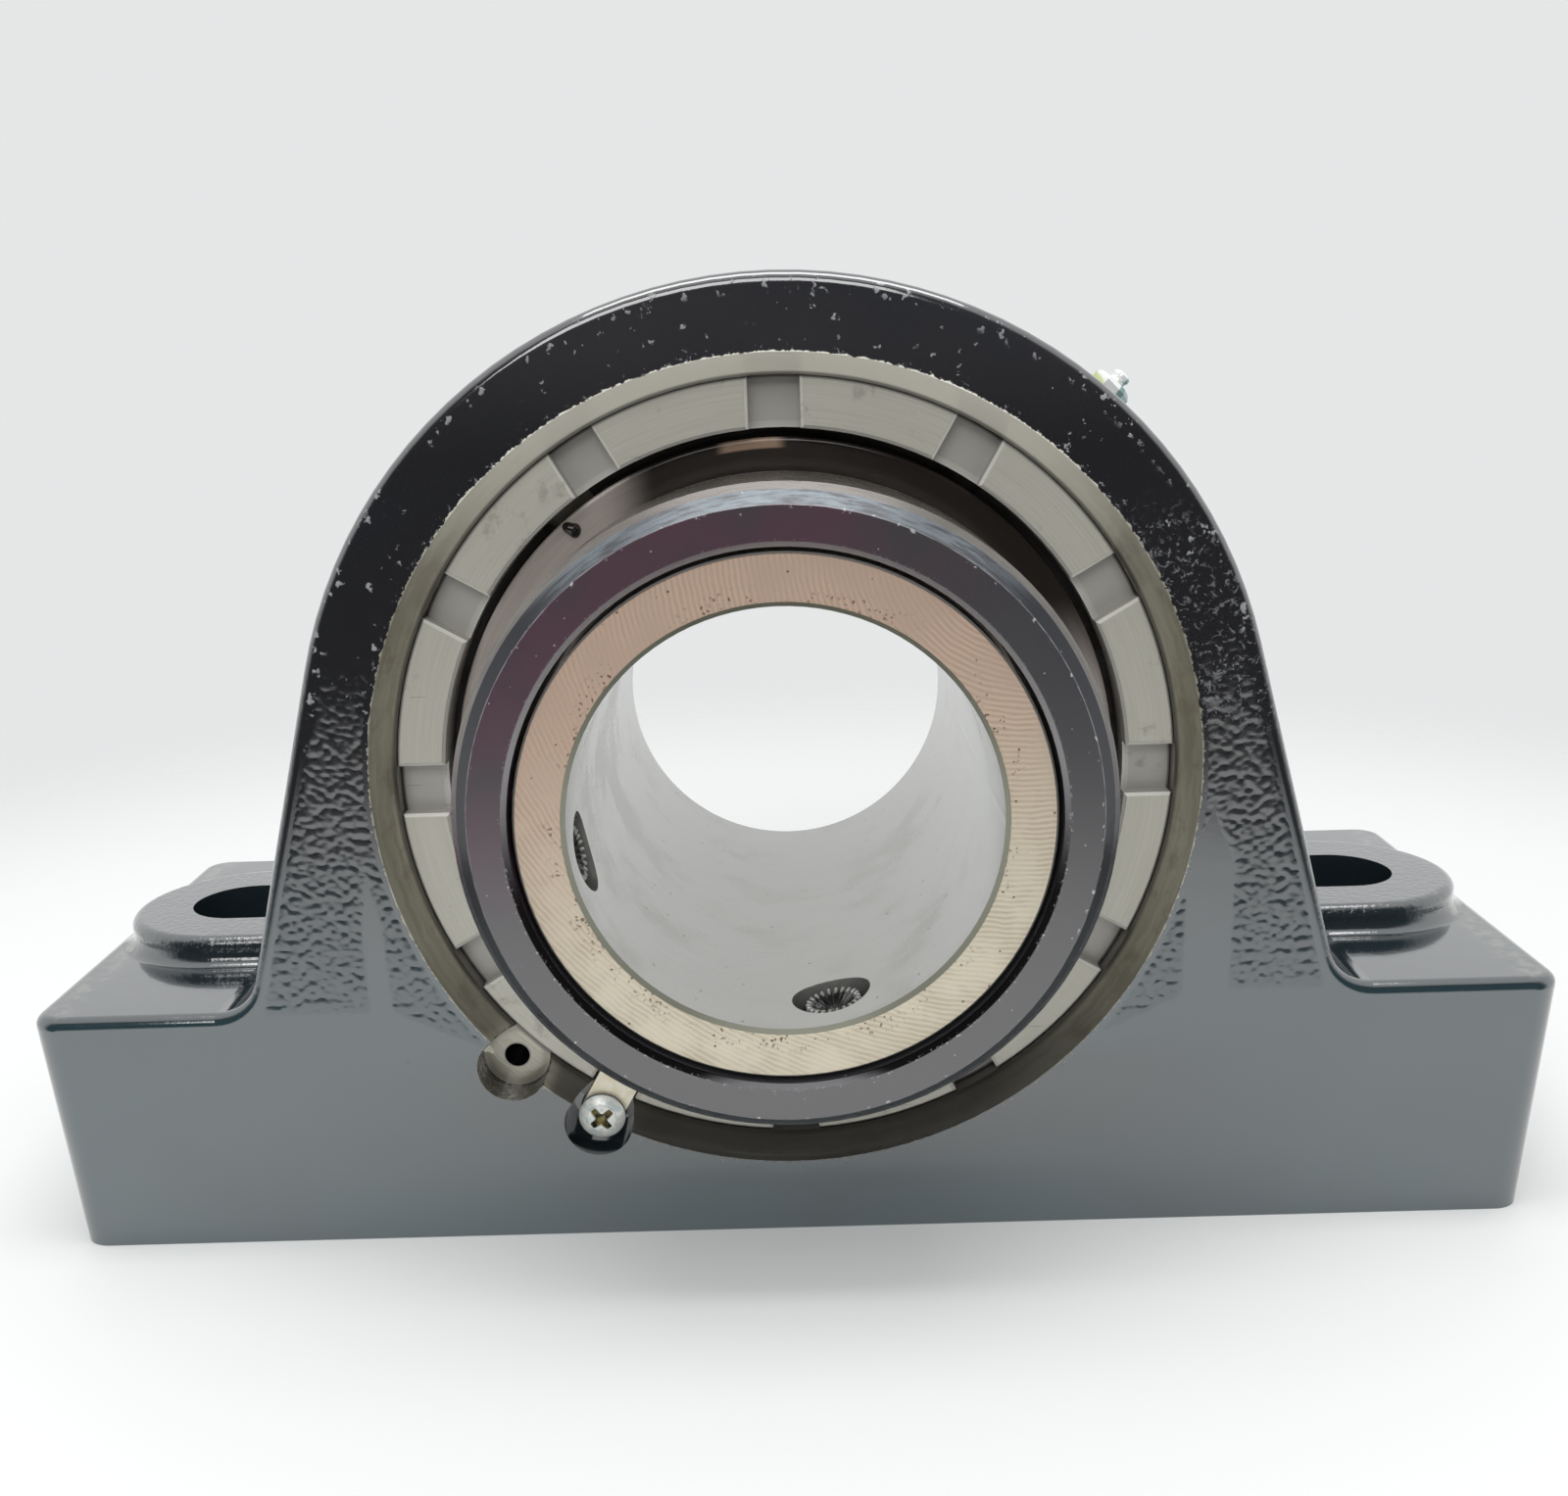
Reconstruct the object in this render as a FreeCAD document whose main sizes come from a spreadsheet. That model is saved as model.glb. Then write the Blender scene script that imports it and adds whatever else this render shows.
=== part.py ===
import FreeCAD, Part
import math
import os
import Sketcher
from FreeCAD import Placement, Rotation, Vector

# Pillow block with a self-aligning double-row roller bearing, in millimetres.
# +Z is up, +Y points away from the collar side and the shaft axis runs along Y.
# The origin is the middle of the base face, straight under the bearing centre.

DRIVING_SIZES = {
    "bore_dia": (68.26, "shaft bore"),
    "bore_chamfer": (0.8, "lead-in at both ends of the bore"),
    "ring_wall": (8.17, "wall of the inner ring's extensions"),
    "ring_edge": (0.4, "edge break outside the inner ring"),
    "front_stand": (24.0, "inner ring's collar end from the housing's face"),
    "rear_inset": (4.92, "inner ring's other end inside the housing's face"),
    "collar_gap": (0.75, "collar bore around the inner ring"),
    "collar_wall": (9.15, "locking collar"),
    "collar_width": (26.9, "locking collar along the shaft"),
    "collar_stand": (1.5, "collar's face in front of the inner ring's end"),
    "collar_bevel_width": (3.1, "bevel of the collar's face, across"),
    "collar_bevel_depth": (4.2, "bevel of the collar's face, along the shaft"),
    "collar_edge": (0.8, "small chamfers of the collar"),
    "screw_dia": (12.7, "set screw"),
    "screw_depth": (14.2, "collar face to the set screws' axis"),
    "screw_recess": (0.45, "set screw's tip below the bore at rest"),
    "screw_inset": (1.6, "set screw's head below the collar at rest"),
    "screw_angle": (191.5, "first set screw, from +X towards +Z"),
    "screw_spread": (90.0, "angle between the set screws"),
    "screw_hole_gap": (0.4, "inner ring's hole around the set screw"),
    "screw_edge": (0.8, "chamfer of the set screw's head"),
    "thread_gap": (0.05, "between a thread and its hole"),
    "cup_bevel": (2.05, "set screw's point, across"),
    "cup_rim": (0.9, "rim of the cup point"),
    "cup_depth": (1.4, "hollow of the cup point"),
    "socket_width": (6.35, "hexagon socket across flats"),
    "socket_depth": (6.5, "hexagon socket"),
    "race_rise": (1.8, "inner raceway's contact circle above the extensions"),
    "roller_dia": (14.0, "barrel roller at its middle"),
    "roller_length": (14.0, "barrel roller"),
    "roller_gap": (0.12, "roller to each raceway"),
    "roller_count": (15, "rollers in a row"),
    "contact_angle": (13.0, "roller's contact line from the radial plane"),
    "pocket_gap": (0.3, "cage around a roller"),
    "cage_thickness": (2.2, "cage strip"),
    "cage_rim": (1.3, "cage beyond the roller ends"),
    "rib_height": (2.9, "retaining ribs above the extensions"),
    "rib_gap": (0.4, "retaining rib to the roller ends"),
    "rib_width": (2.5, "retaining rib"),
    "land_width": (5.2, "inner ring's land between the rows"),
    "guide_gap": (0.15, "guide ring around that land"),
    "guide_wall": (3.4, "guide ring"),
    "guide_width": (4.0, "guide ring"),
    "outer_ring_wall": (7.18, "outer ring at its middle"),
    "outer_ring_width": (52.0, "outer ring"),
    "outer_ring_edge": (1.0, "outer ring's corners"),
    "seat_gap": (0.04, "outer ring in the housing"),
    "lube_groove_width": (5.0, "grease groove of the outer ring"),
    "lube_groove_depth": (1.5, "grease groove of the outer ring"),
    "lube_hole_dia": (3.2, "grease holes of the outer ring"),
    "lube_hole_count": (3, "grease holes of the outer ring"),
    "thread_step": (0.28, "housing's thread beyond the outer ring's seat"),
    "cover_gap": (0.1, "cover's thread in the housing"),
    "cover_wall": (8.2, "cover around the seal case"),
    "cover_depth": (16.12, "cover along the shaft"),
    "cover_setback": (5.5, "housing face to cover face"),
    "cover_edge": (0.5, "edge break of the cover's face"),
    "notch_count": (12, "spanner notches in the cover"),
    "notch_width": (8.5, "spanner notch"),
    "notch_depth": (3.5, "spanner notch"),
    "notch_edge": (0.6, "bevel along the notches"),
    "mouth_flare": (3.4, "lead-in in front of the housing's thread"),
    "seal_shoulder": (1.7, "step that the seal case rests on"),
    "seal_offset": (4.3, "outer ring to seal case"),
    "case_width": (3.1, "seal case"),
    "case_gap": (0.05, "seal case in its bore"),
    "seal_wall": (8.9, "seal case's spherical seat above the extensions"),
    "seal_gap": (0.3, "seal ring in its spherical seat"),
    "seal_width": (4.0, "floating seal ring"),
    "running_gap": (0.08, "seal ring around the inner ring"),
    "clip_gap": (0.1, "retaining ring to the seal case"),
    "clip_thickness": (1.4, "retaining ring"),
    "clip_groove_depth": (1.7, "retaining ring's groove"),
    "clip_reach": (2.3, "retaining ring inside its groove"),
    "clip_slack": (0.1, "retaining ring in its groove"),
    "clip_opening": (9.0, "retaining ring's gap"),
    "clip_angle": (127.0, "retaining ring's gap, from +X towards +Z"),
    "lug_radius": (2.3, "retaining ring's lugs"),
    "lug_hole_dia": (2.0, "retaining ring's pliers holes"),
    "flinger_stand": (1.8, "retaining ring to flinger"),
    "flinger_margin": (4.7, "flinger's rim inside the cover's bore"),
    "flinger_thickness": (1.3, "flinger"),
    "flinger_hub": (1.9, "wall of the flinger's hub"),
    "flinger_hub_length": (1.2, "flinger's hub beyond its disc"),
    "flinger_gap": (0.05, "flinger on the inner ring"),
    "centre_height": (84.14, "shaft axis above the base"),
    "body_wall": (15.55, "crown of the housing outside its thread"),
    "flank_angle": (15.6, "flank from upright"),
    "flank_fillet": (8.0, "flank into the foot"),
    "foot_height": (45.3, "top of the feet"),
    "end_margin": (2.87, "foot beyond its boss"),
    "base_draft": (2.8, "how much shorter each end is at the bottom"),
    "corner_radius": (5.5, "upright corners of the base"),
    "edge_radius": (2.0, "cast edges of the housing"),
    "boss_height": (5.5, "bolt boss above the foot"),
    "boss_wall": (11.7, "bolt boss around the slot's outer end"),
    "boss_fillet": (2.5, "boss into the foot"),
    "slot_stand": (12.22, "slot's middle from the foot of the flank"),
    "slot_width": (20.6, "bolt slot"),
    "slot_travel": (5.8, "bolt's play along the slot"),
    "lock_stand": (4.5, "lock stations outside the thread"),
    "lock_angle": (240.0, "lock station in use, from +X towards +Z"),
    "lock_spread": (15.0, "between the lock stations"),
    "lock_well_dia": (12.4, "lock station's counterbore"),
    "lock_well_depth": (6.2, "lock station's counterbore"),
    "lock_hole_dia": (4.5, "lock station's tapped hole"),
    "lock_hole_margin": (1.5, "lock station's tapped hole beyond the screw"),
    "tab_width": (7.6, "lock tab"),
    "tab_thickness": (1.2, "lock tab"),
    "tab_end_gap": (1.3, "lock tab's end from the cover's bore"),
    "lock_head_dia": (9.2, "lock screw's head"),
    "lock_head_height": (2.6, "lock screw's head"),
    "lock_head_rim": (0.9, "straight rim of the lock screw's head"),
    "lock_screw_length": (10.0, "lock screw under its head"),
    "fitting_angle": (45.0, "grease fitting, from +X towards +Z"),
    "spot_depth": (0.55, "spot face below the crown"),
    "spot_dia": (12.0, "spot face"),
    "fitting_thread_dia": (6.2, "grease fitting's shank"),
    "fitting_thread_length": (6.0, "grease fitting's shank in the housing"),
    "fitting_stem": (2.4, "bare thread between the spot face and the hexagon"),
    "fitting_hex": (7.1, "grease fitting across flats"),
    "fitting_hex_height": (4.2, "grease fitting's hexagon"),
    "fitting_neck_dia": (3.8, "grease fitting's neck"),
    "fitting_head_dia": (5.2, "grease fitting's head"),
    "fitting_nose": (4.4, "grease fitting outside its hexagon"),
    "lube_passage_dia": (4.0, "drilling from the fitting to the outer ring"),
    "cut_margin": (2.0, "how far a cut runs past a face"),
}

H_AXIS_INDEX, V_AXIS_INDEX = -1, -2
START_INDEX, END_INDEX, CENTRE_INDEX = 1, 2, 3
TOUCH = 0.01


class Size:
    """A number with the spreadsheet formula that it comes from."""

    def __init__(self, number, text):
        self.number = number
        self.text = text

    def __add__(self, other):
        return combine(self, other, "+", self.number + as_size(other).number)

    def __radd__(self, other):
        return as_size(other) + self

    def __sub__(self, other):
        return combine(self, other, "-", self.number - as_size(other).number)

    def __rsub__(self, other):
        return as_size(other) - self

    def __mul__(self, other):
        return combine(self, other, "*", self.number * as_size(other).number)

    def __rmul__(self, other):
        return as_size(other) * self

    def __truediv__(self, other):
        return combine(self, other, "/", self.number / as_size(other).number)

    def __neg__(self):
        return Size(-self.number, "(0 - %s)" % self.text)


def as_size(value):
    return value if isinstance(value, Size) else Size(float(value), "(%r)" % value)


def combine(left, right, sign, number):
    return Size(number, "(%s %s %s)" % (left.text, sign, as_size(right).text))


def cos(angle):
    return Size(math.cos(math.radians(angle.number)), "cos(%s)" % angle.text)


def sin(angle):
    return Size(math.sin(math.radians(angle.number)), "sin(%s)" % angle.text)


def root(value):
    return Size(math.sqrt(value.number), "sqrt(%s)" % value.text)


def leg(long_side, side):
    """The other short side of a right triangle."""
    return root(long_side * long_side - side * side)


def make_sheet(doc):
    """Driving sizes, one to a row: the name, the value and what it measures."""
    table = doc.addObject("Spreadsheet::Sheet", "Sizes")
    for row, (name, (value, meaning)) in enumerate(DRIVING_SIZES.items(), start=1):
        table.set("A%d" % row, name)
        table.set("B%d" % row, str(value))
        table.set("C%d" % row, meaning)
        table.setAlias("B%d" % row, name)
    doc.recompute()
    return table


doc = FreeCAD.newDocument("pillow_block")
sheet = make_sheet(doc)


def size(name):
    return Size(float(sheet.get(name)), "Sizes." + name)


def half(name):
    return size(name) / 2


def ring_radius():
    return half("bore_dia") + size("ring_wall")


def sphere_radius():
    """Spherical raceway of the outer ring: inner contact circle, roller and its clearances."""
    contact = (ring_radius() + size("race_rise")) / cos(size("contact_angle"))
    return contact + size("roller_dia") + size("roller_gap") * 2


def outer_ring_radius():
    return sphere_radius() + size("outer_ring_wall")


def thread_radius():
    """Threaded part of the housing's bore, in front of the outer ring's seat."""
    return outer_ring_radius() + size("seat_gap") + size("thread_step")


def cover_radius():
    return thread_radius() - size("cover_gap")


def cover_bore():
    """Bore of the cover, and of the housing's rear wall, around the seal cases."""
    return cover_radius() - size("cover_wall")


def collar_radius():
    return ring_radius() + size("collar_gap") + size("collar_wall")


def housing_face():
    """Mid-plane to the housing's front or rear face."""
    return half("outer_ring_width") + size("cover_depth") + size("cover_setback")


def front_reach():
    return housing_face() + size("front_stand")


def rear_reach():
    return housing_face() - size("rear_inset")


def case_start():
    return half("outer_ring_width") + size("seal_offset")


def clip_start():
    return case_start() + size("case_width") + size("clip_gap")


def flinger_start():
    return clip_start() + size("clip_thickness") + size("flinger_stand")


def crown_radius():
    return thread_radius() + size("body_wall")


def flank_tangent():
    """Where the right flank leaves the round crown, above the base."""
    lean, crown = size("flank_angle"), crown_radius()
    return crown * cos(lean), size("centre_height") + crown * sin(lean)


def flank_x(height):
    tangent_x, tangent_z = flank_tangent()
    return tangent_x + (tangent_z - height) * sin(size("flank_angle")) / cos(size("flank_angle"))


def slot_middle():
    return flank_x(size("foot_height")) + size("slot_stand")


def boss_reach():
    """Centre of the boss's round end, which is also that of the slot's outer end."""
    return slot_middle() + half("slot_travel")


def boss_radius():
    return half("slot_width") + size("boss_wall")


def boss_end():
    return boss_reach() + boss_radius()


def new_body(name, raised=True):
    """A body named after its node; a raised one has its origin at the bearing centre."""
    body = doc.addObject("PartDesign::Body", name)
    body.Label = name
    if raised:
        move_body(body, 0, 0, size("centre_height"))
    return body


def move_body(body, x, y, z, rotation=None):
    base = [as_size(part) for part in (x, y, z)]
    body.Placement = Placement(Vector(*[part.number for part in base]), rotation or Rotation())
    for letter, part in zip("xyz", base):
        body.setExpression("Placement.Base." + letter, part.text)


def origin_part(body, role):
    return [item for item in body.Origin.OriginFeatures if item.Role == role][0]


def new_sketch(body, name, plane, shift=(0, 0), offset=0, angle=0):
    """A sketch on an origin plane, shifted in it, lifted off it and turned in it."""
    sketch = body.newObject("Sketcher::SketchObject", body.Label + "_" + name)
    sketch.AttachmentSupport = [(origin_part(body, plane), "")]
    sketch.MapMode = "FlatFace"
    base = [as_size(part) for part in (shift[0], shift[1], offset)]
    turn = as_size(angle)
    sketch.AttachmentOffset = Placement(
        Vector(*[part.number for part in base]), Rotation(Vector(0, 0, 1), turn.number))
    for letter, part in zip("xyz", base):
        sketch.setExpression("AttachmentOffset.Base." + letter, part.text)
    if turn.number:
        sketch.setExpression("AttachmentOffset.Rotation.Angle", turn.text)
    return sketch


def bind(sketch, constraint, value):
    index = sketch.addConstraint(constraint)
    sketch.setExpression("Constraints[%d]" % index, value.text)


def fix_point(sketch, edge, position, x=None, y=None):
    """Tie a point of an edge to the sketch's axes."""
    for kind, axis, value in (("DistanceX", V_AXIS_INDEX, x), ("DistanceY", H_AXIS_INDEX, y)):
        if value is None:
            continue
        if abs(value.number) < 1e-9:
            sketch.addConstraint(Sketcher.Constraint("PointOnObject", edge, position, axis))
        else:
            bind(sketch, Sketcher.Constraint(kind, -1, 1, edge, position, value.number), value)


def arc(x, y, centre_x, centre_y, left=True):
    """Outline step: an arc to (x, y) about a centre, turning left or right."""
    return (x, y, centre_x, centre_y, left)


def add_line(sketch, start, end):
    points = [Vector(x.number, y.number, 0) for x, y in (start, end)]
    return sketch.addGeometry(Part.LineSegment(*points)), START_INDEX, END_INDEX


def add_arc(sketch, start, end, centre, left):
    middle = Vector(centre[0].number, centre[1].number, 0)
    spokes = [Vector(x.number, y.number, 0) - middle for x, y in (start, end)]
    angles = [math.atan2(spoke.y, spoke.x) for spoke in spokes]
    if not left:
        angles.reverse()
    if angles[1] < angles[0]:
        angles[1] += 2 * math.pi
    circle = Part.Circle(middle, Vector(0, 0, 1), spokes[0].Length)
    edge = sketch.addGeometry(Part.ArcOfCircle(circle, *angles))
    chord = spokes[1] - spokes[0]
    if abs(chord.y) > abs(chord.x):
        fix_point(sketch, edge, CENTRE_INDEX, x=centre[0])
    else:
        fix_point(sketch, edge, CENTRE_INDEX, y=centre[1])
    return (edge, START_INDEX, END_INDEX) if left else (edge, END_INDEX, START_INDEX)


def draw(sketch, steps):
    """A closed outline through the given steps, each a point or an arc to a point."""
    steps = [tuple(as_size(part) for part in step[:4]) + step[4:] for step in steps]
    edges = []
    for start, step in zip(steps, steps[1:] + steps[:1]):
        if len(step) == 2:
            edges.append(add_line(sketch, start[:2], step))
        else:
            edges.append(add_arc(sketch, start[:2], step[:2], step[2:4], step[4]))
    for (edge, _, end), (following, begin, _) in zip(edges, edges[1:] + edges[:1]):
        sketch.addConstraint(Sketcher.Constraint("Coincident", edge, end, following, begin))
    for (edge, begin, _), step in zip(edges, steps):
        fix_point(sketch, edge, begin, step[0], step[1])


def draw_circle(sketch, x, y, radius):
    x, y, radius = as_size(x), as_size(y), as_size(radius)
    circle = Part.Circle(Vector(x.number, y.number, 0), Vector(0, 0, 1), radius.number)
    edge = sketch.addGeometry(circle)
    fix_point(sketch, edge, CENTRE_INDEX, x, y)
    bind(sketch, Sketcher.Constraint("Radius", edge, radius.number), radius)


def draw_hexagon(sketch, across_flats):
    """A hexagon about the sketch's origin with two flats along the horizontal axis."""
    flat = across_flats / 2
    corner = across_flats / root(as_size(3))
    draw(sketch, [(corner, 0), (corner / 2, flat), (-corner / 2, flat),
                  (-corner, 0), (-corner / 2, -flat), (corner / 2, -flat)])


def extrude(body, kind, name, sketch, length=None, symmetric=False, backwards=False):
    """A Pad or a Pocket; with no length the pocket runs through everything."""
    feature = body.newObject("PartDesign::" + kind, body.Label + "_" + name)
    feature.Profile = sketch
    if length is None:
        feature.Type = "ThroughAll"
    else:
        feature.Length = length.number
        feature.setExpression("Length", length.text)
    feature.SideType = "Symmetric" if symmetric else "One side"
    feature.Reversed = backwards
    doc.recompute()
    return feature


def turn(body, kind, name, sketch, axis="V_Axis"):
    """A Revolution or a Groove through a full turn."""
    feature = body.newObject("PartDesign::" + kind, body.Label + "_" + name)
    feature.Profile = sketch
    feature.ReferenceAxis = (sketch, [axis])
    feature.Angle = 360
    doc.recompute()
    return feature


def repeat(body, feature, count):
    """Copies of a cut round the shaft axis."""
    pattern = body.newObject("PartDesign::PolarPattern", feature.Name + "_pattern")
    pattern.Originals = [feature]
    pattern.Axis = (origin_part(body, "Y_Axis"), [""])
    pattern.Angle = 360
    pattern.Occurrences = int(count.number)
    pattern.setExpression("Occurrences", count.text)
    body.Tip = pattern
    doc.recompute()


def round_edges(body, name, radius, chosen):
    """Fillet those edges of the body as it stands that the test picks."""
    tip = body.Tip
    names = ["Edge%d" % number for number, edge in enumerate(tip.Shape.Edges, start=1) if chosen(edge)]
    fillet = body.newObject("PartDesign::Fillet", body.Label + "_" + name)
    fillet.Base = (tip, names)
    fillet.Radius = radius.number
    fillet.setExpression("Radius", radius.text)
    doc.recompute()


def revolved(name, steps):
    """A body turned about the shaft axis; steps are (radius, place along the shaft)."""
    body = new_body(name)
    sketch = new_sketch(body, "profile", "XY_Plane")
    draw(sketch, steps)
    turn(body, "Revolution", "turned", sketch)
    return body


def cut_radial_hole(body, name, angle, along, radius, low, high):
    """A round hole that points at the shaft axis, from one distance to another."""
    sketch = new_sketch(body, name, "XZ_Plane", offset=-as_size(along), angle=angle)
    draw(sketch, [(low, 0), (high, 0), (high, radius), (low, radius)])
    return turn(body, "Groove", name + "_cut", sketch, "H_Axis")


def housing_outline():
    """Front view of the housing: base, feet, flanks that meet the round crown as tangents."""
    top, lean, fillet = size("foot_height"), size("flank_angle"), size("flank_fillet")
    end = boss_end() + size("end_margin")
    bottom = end - size("base_draft")
    tangent_x, tangent_z = flank_tangent()
    fillet_z = top + fillet
    fillet_x = flank_x(fillet_z) + fillet / cos(lean)
    low_x, low_z = fillet_x - fillet * cos(lean), fillet_z - fillet * sin(lean)
    return [
        (-bottom, 0), (bottom, 0), (end, top), (fillet_x, top),
        arc(low_x, low_z, fillet_x, fillet_z, left=False),
        (tangent_x, tangent_z),
        arc(-tangent_x, tangent_z, 0, size("centre_height")),
        (-low_x, low_z),
        arc(-fillet_x, top, -fillet_x, fillet_z, left=False),
        (-end, top),
    ]


def add_bosses(body):
    """Raised pads with a round outer end; their inner ends run into the flanks."""
    radius, reach, inner = boss_radius(), boss_reach(), flank_tangent()[0]
    sketch = new_sketch(body, "boss_plan", "XY_Plane", offset=size("foot_height") - size("boss_fillet"))
    draw(sketch, [(inner, -radius), (reach, -radius), arc(reach, radius, reach, 0), (inner, radius)])
    draw(sketch, [(-inner, radius), (-reach, radius), arc(-reach, -radius, -reach, 0), (-inner, -radius)])
    extrude(body, "Pad", "bosses", sketch, size("boss_height") + size("boss_fillet"))


def cut_slots(body):
    radius = half("slot_width")
    sketch = new_sketch(body, "slot_plan", "XY_Plane", offset=size("foot_height") + size("boss_height"))
    for side in (-1, 1):
        low, high = side * slot_middle() - half("slot_travel"), side * slot_middle() + half("slot_travel")
        draw(sketch, [arc(low, -radius, low, 0), (high, -radius), arc(high, radius, high, 0), (low, radius)])
    extrude(body, "Pocket", "slots", sketch)


def cut_bearing_bore(body):
    """Lead-in, thread, ring seat, shoulder and rear seal seat, from the front face to the rear."""
    face, over, thread = housing_face(), size("cut_margin"), thread_radius()
    mouth = thread + size("mouth_flare")
    seat, ring_end = outer_ring_radius() + size("seat_gap"), half("outer_ring_width")
    case_bore, case_seat = cover_bore(), case_start()
    shoulder = case_bore - size("seal_shoulder")
    groove, groove_low, groove_high = clip_groove()
    lead_in = size("outer_ring_edge") * 2
    sketch = new_sketch(body, "bore_profile", "XY_Plane", offset=size("centre_height"))
    draw(sketch, [
        (0, -face - over), (mouth, -face - over), (mouth, -face),
        (thread, -face + size("cover_setback")), (thread, -ring_end), (seat, -ring_end),
        (seat, ring_end), (shoulder, ring_end), (shoulder, case_seat), (case_bore, case_seat),
        (case_bore, groove_low), (groove, groove_low), (groove, groove_high), (case_bore, groove_high),
        (case_bore, face - lead_in), (case_bore + lead_in, face), (case_bore + lead_in, face + over),
        (0, face + over),
    ])
    turn(body, "Groove", "bearing_bore", sketch)


def clip_groove():
    """Radius and both sides of a retaining ring's groove."""
    low = clip_start() - size("clip_slack") / 2
    return cover_bore() + size("clip_groove_depth"), low, low + size("clip_thickness") + size("clip_slack")


def lock_angles():
    return size("lock_angle"), size("lock_angle") - size("lock_spread")


def lock_reach():
    return thread_radius() + size("lock_stand")


def lock_place(angle):
    return lock_reach() * cos(angle), lock_reach() * sin(angle)


def cut_lock_stations(body):
    """Two counterbored tapped holes beside the cover; a lock tab can be screwed to either."""
    rise, depth = size("centre_height"), size("lock_well_depth")
    for name, radius, length in (
        ("lock_wells", half("lock_well_dia"), depth),
        ("lock_holes", half("lock_hole_dia"), depth + size("lock_screw_length") + size("lock_hole_margin")),
    ):
        sketch = new_sketch(body, name + "_plan", "XZ_Plane", offset=housing_face())
        for angle in lock_angles():
            x, z = lock_place(angle)
            draw_circle(sketch, x, rise + z, radius)
        extrude(body, "Pocket", name, sketch, length)


def fitting_seat():
    return crown_radius() - size("spot_depth")


def cut_grease_passage(body):
    """Spot face, tapped hole and drilling, from the crown down to the outer ring."""
    seat, passage, spot = fitting_seat(), half("lube_passage_dia"), half("spot_dia")
    thread_end = seat - size("fitting_thread_length") - size("cut_margin") / 2
    hole = half("fitting_thread_dia") + size("thread_gap")
    low, high = outer_ring_radius() - size("lube_groove_depth"), crown_radius() + size("cut_margin")
    sketch = new_sketch(body, "passage", "XZ_Plane", shift=(0, size("centre_height")),
                        angle=size("fitting_angle"))
    draw(sketch, [(low, 0), (low, passage), (thread_end, passage), (thread_end, hole),
                  (seat, hole), (seat, spot), (high, spot), (high, 0)])
    turn(body, "Groove", "grease_passage", sketch, "H_Axis")


def is_level(box, height):
    return abs(box.ZMin - height) < TOUCH and abs(box.ZMax - height) < TOUCH


def is_end_corner(edge):
    low, high = edge.BoundBox.ZMin, edge.BoundBox.ZMax
    tall = high - low > size("foot_height").number - TOUCH
    return tall and min(abs(edge.BoundBox.XMin), abs(edge.BoundBox.XMax)) > boss_reach().number


def is_boss_foot(edge):
    level = size("foot_height").number
    box = edge.BoundBox
    inside = max(abs(box.YMin), abs(box.YMax)) < boss_radius().number + TOUCH
    on_boss = inside and max(abs(box.XMin), abs(box.XMax)) < boss_end().number + TOUCH
    return on_boss and is_level(box, level)


def is_boss_rim(edge):
    level = size("foot_height").number + size("boss_height").number
    box = edge.BoundBox
    on_side = max(abs(box.YMin), abs(box.YMax)) > boss_radius().number - TOUCH
    return is_level(box, level) and on_side and box.XLength > TOUCH


def is_cast_outline(edge):
    """Edges round both faces and round the feet, above the base face."""
    box = edge.BoundBox
    top = size("foot_height").number
    if box.ZMin < top - TOUCH:
        return False
    on_face = min(abs(box.YMin), abs(box.YMax)) > housing_face().number - TOUCH
    at_end = min(abs(box.XMin), abs(box.XMax)) > boss_end().number
    return on_face or (is_level(box, top) and at_end)


def make_housing():
    body = new_body("housing", raised=False)
    sketch = new_sketch(body, "front_view", "XZ_Plane")
    draw(sketch, housing_outline())
    extrude(body, "Pad", "block", sketch, housing_face() * 2, symmetric=True)
    round_edges(body, "corners", size("corner_radius"), is_end_corner)
    round_edges(body, "cast_edges", size("edge_radius"), is_cast_outline)
    add_bosses(body)
    round_edges(body, "boss_feet", size("boss_fillet"), is_boss_foot)
    round_edges(body, "boss_rims", size("edge_radius"), is_boss_rim)
    cut_slots(body)
    cut_bearing_bore(body)
    cut_lock_stations(body)
    cut_grease_passage(body)


def make_outer_ring():
    radius, end, edge = outer_ring_radius(), half("outer_ring_width"), size("outer_ring_edge")
    mouth = leg(sphere_radius(), end)
    groove, floor = half("lube_groove_width"), radius - size("lube_groove_depth")
    body = revolved("outer_ring", [
        arc(mouth, -end, 0, 0, left=False), (radius - edge, -end), (radius, -end + edge),
        (radius, -groove), (floor, -groove), (floor, groove), (radius, groove),
        (radius, end - edge), (radius - edge, end), (mouth, end),
    ])
    hole = cut_radial_hole(body, "grease_hole", size("fitting_angle"), 0, half("lube_hole_dia"),
                           sphere_radius() - size("cut_margin"), radius)
    repeat(body, hole, size("lube_hole_count"))


def roller_place():
    """Distance from the bearing centre to a roller's centre, and its radius and place along."""
    distance = sphere_radius() - size("roller_gap") - half("roller_dia")
    return distance, distance * cos(size("contact_angle")), distance * sin(size("contact_angle"))


def rib_start():
    """A rib's inner face: just beyond the roller's end at the height of the rib's edge."""
    _, place_r, place_y = roller_place()
    lean, end = size("contact_angle"), half("roller_length")
    up = (ring_radius() + size("rib_height") - place_r + end * sin(lean)) / cos(lean)
    return place_y + end * cos(lean) + up * sin(lean) + size("rib_gap")


def race_radius(along):
    """Centre of the inner raceway's arc and the raceway's radius at a place along the shaft."""
    distance = roller_place()[0] - half("roller_dia") - size("roller_gap") + sphere_radius()
    centre_r = distance * cos(size("contact_angle"))
    centre_y = distance * sin(size("contact_angle"))
    return centre_r, centre_y, centre_r - leg(sphere_radius(), centre_y - along)


def screw_angles():
    return size("screw_angle"), size("screw_angle") + size("screw_spread")


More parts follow.
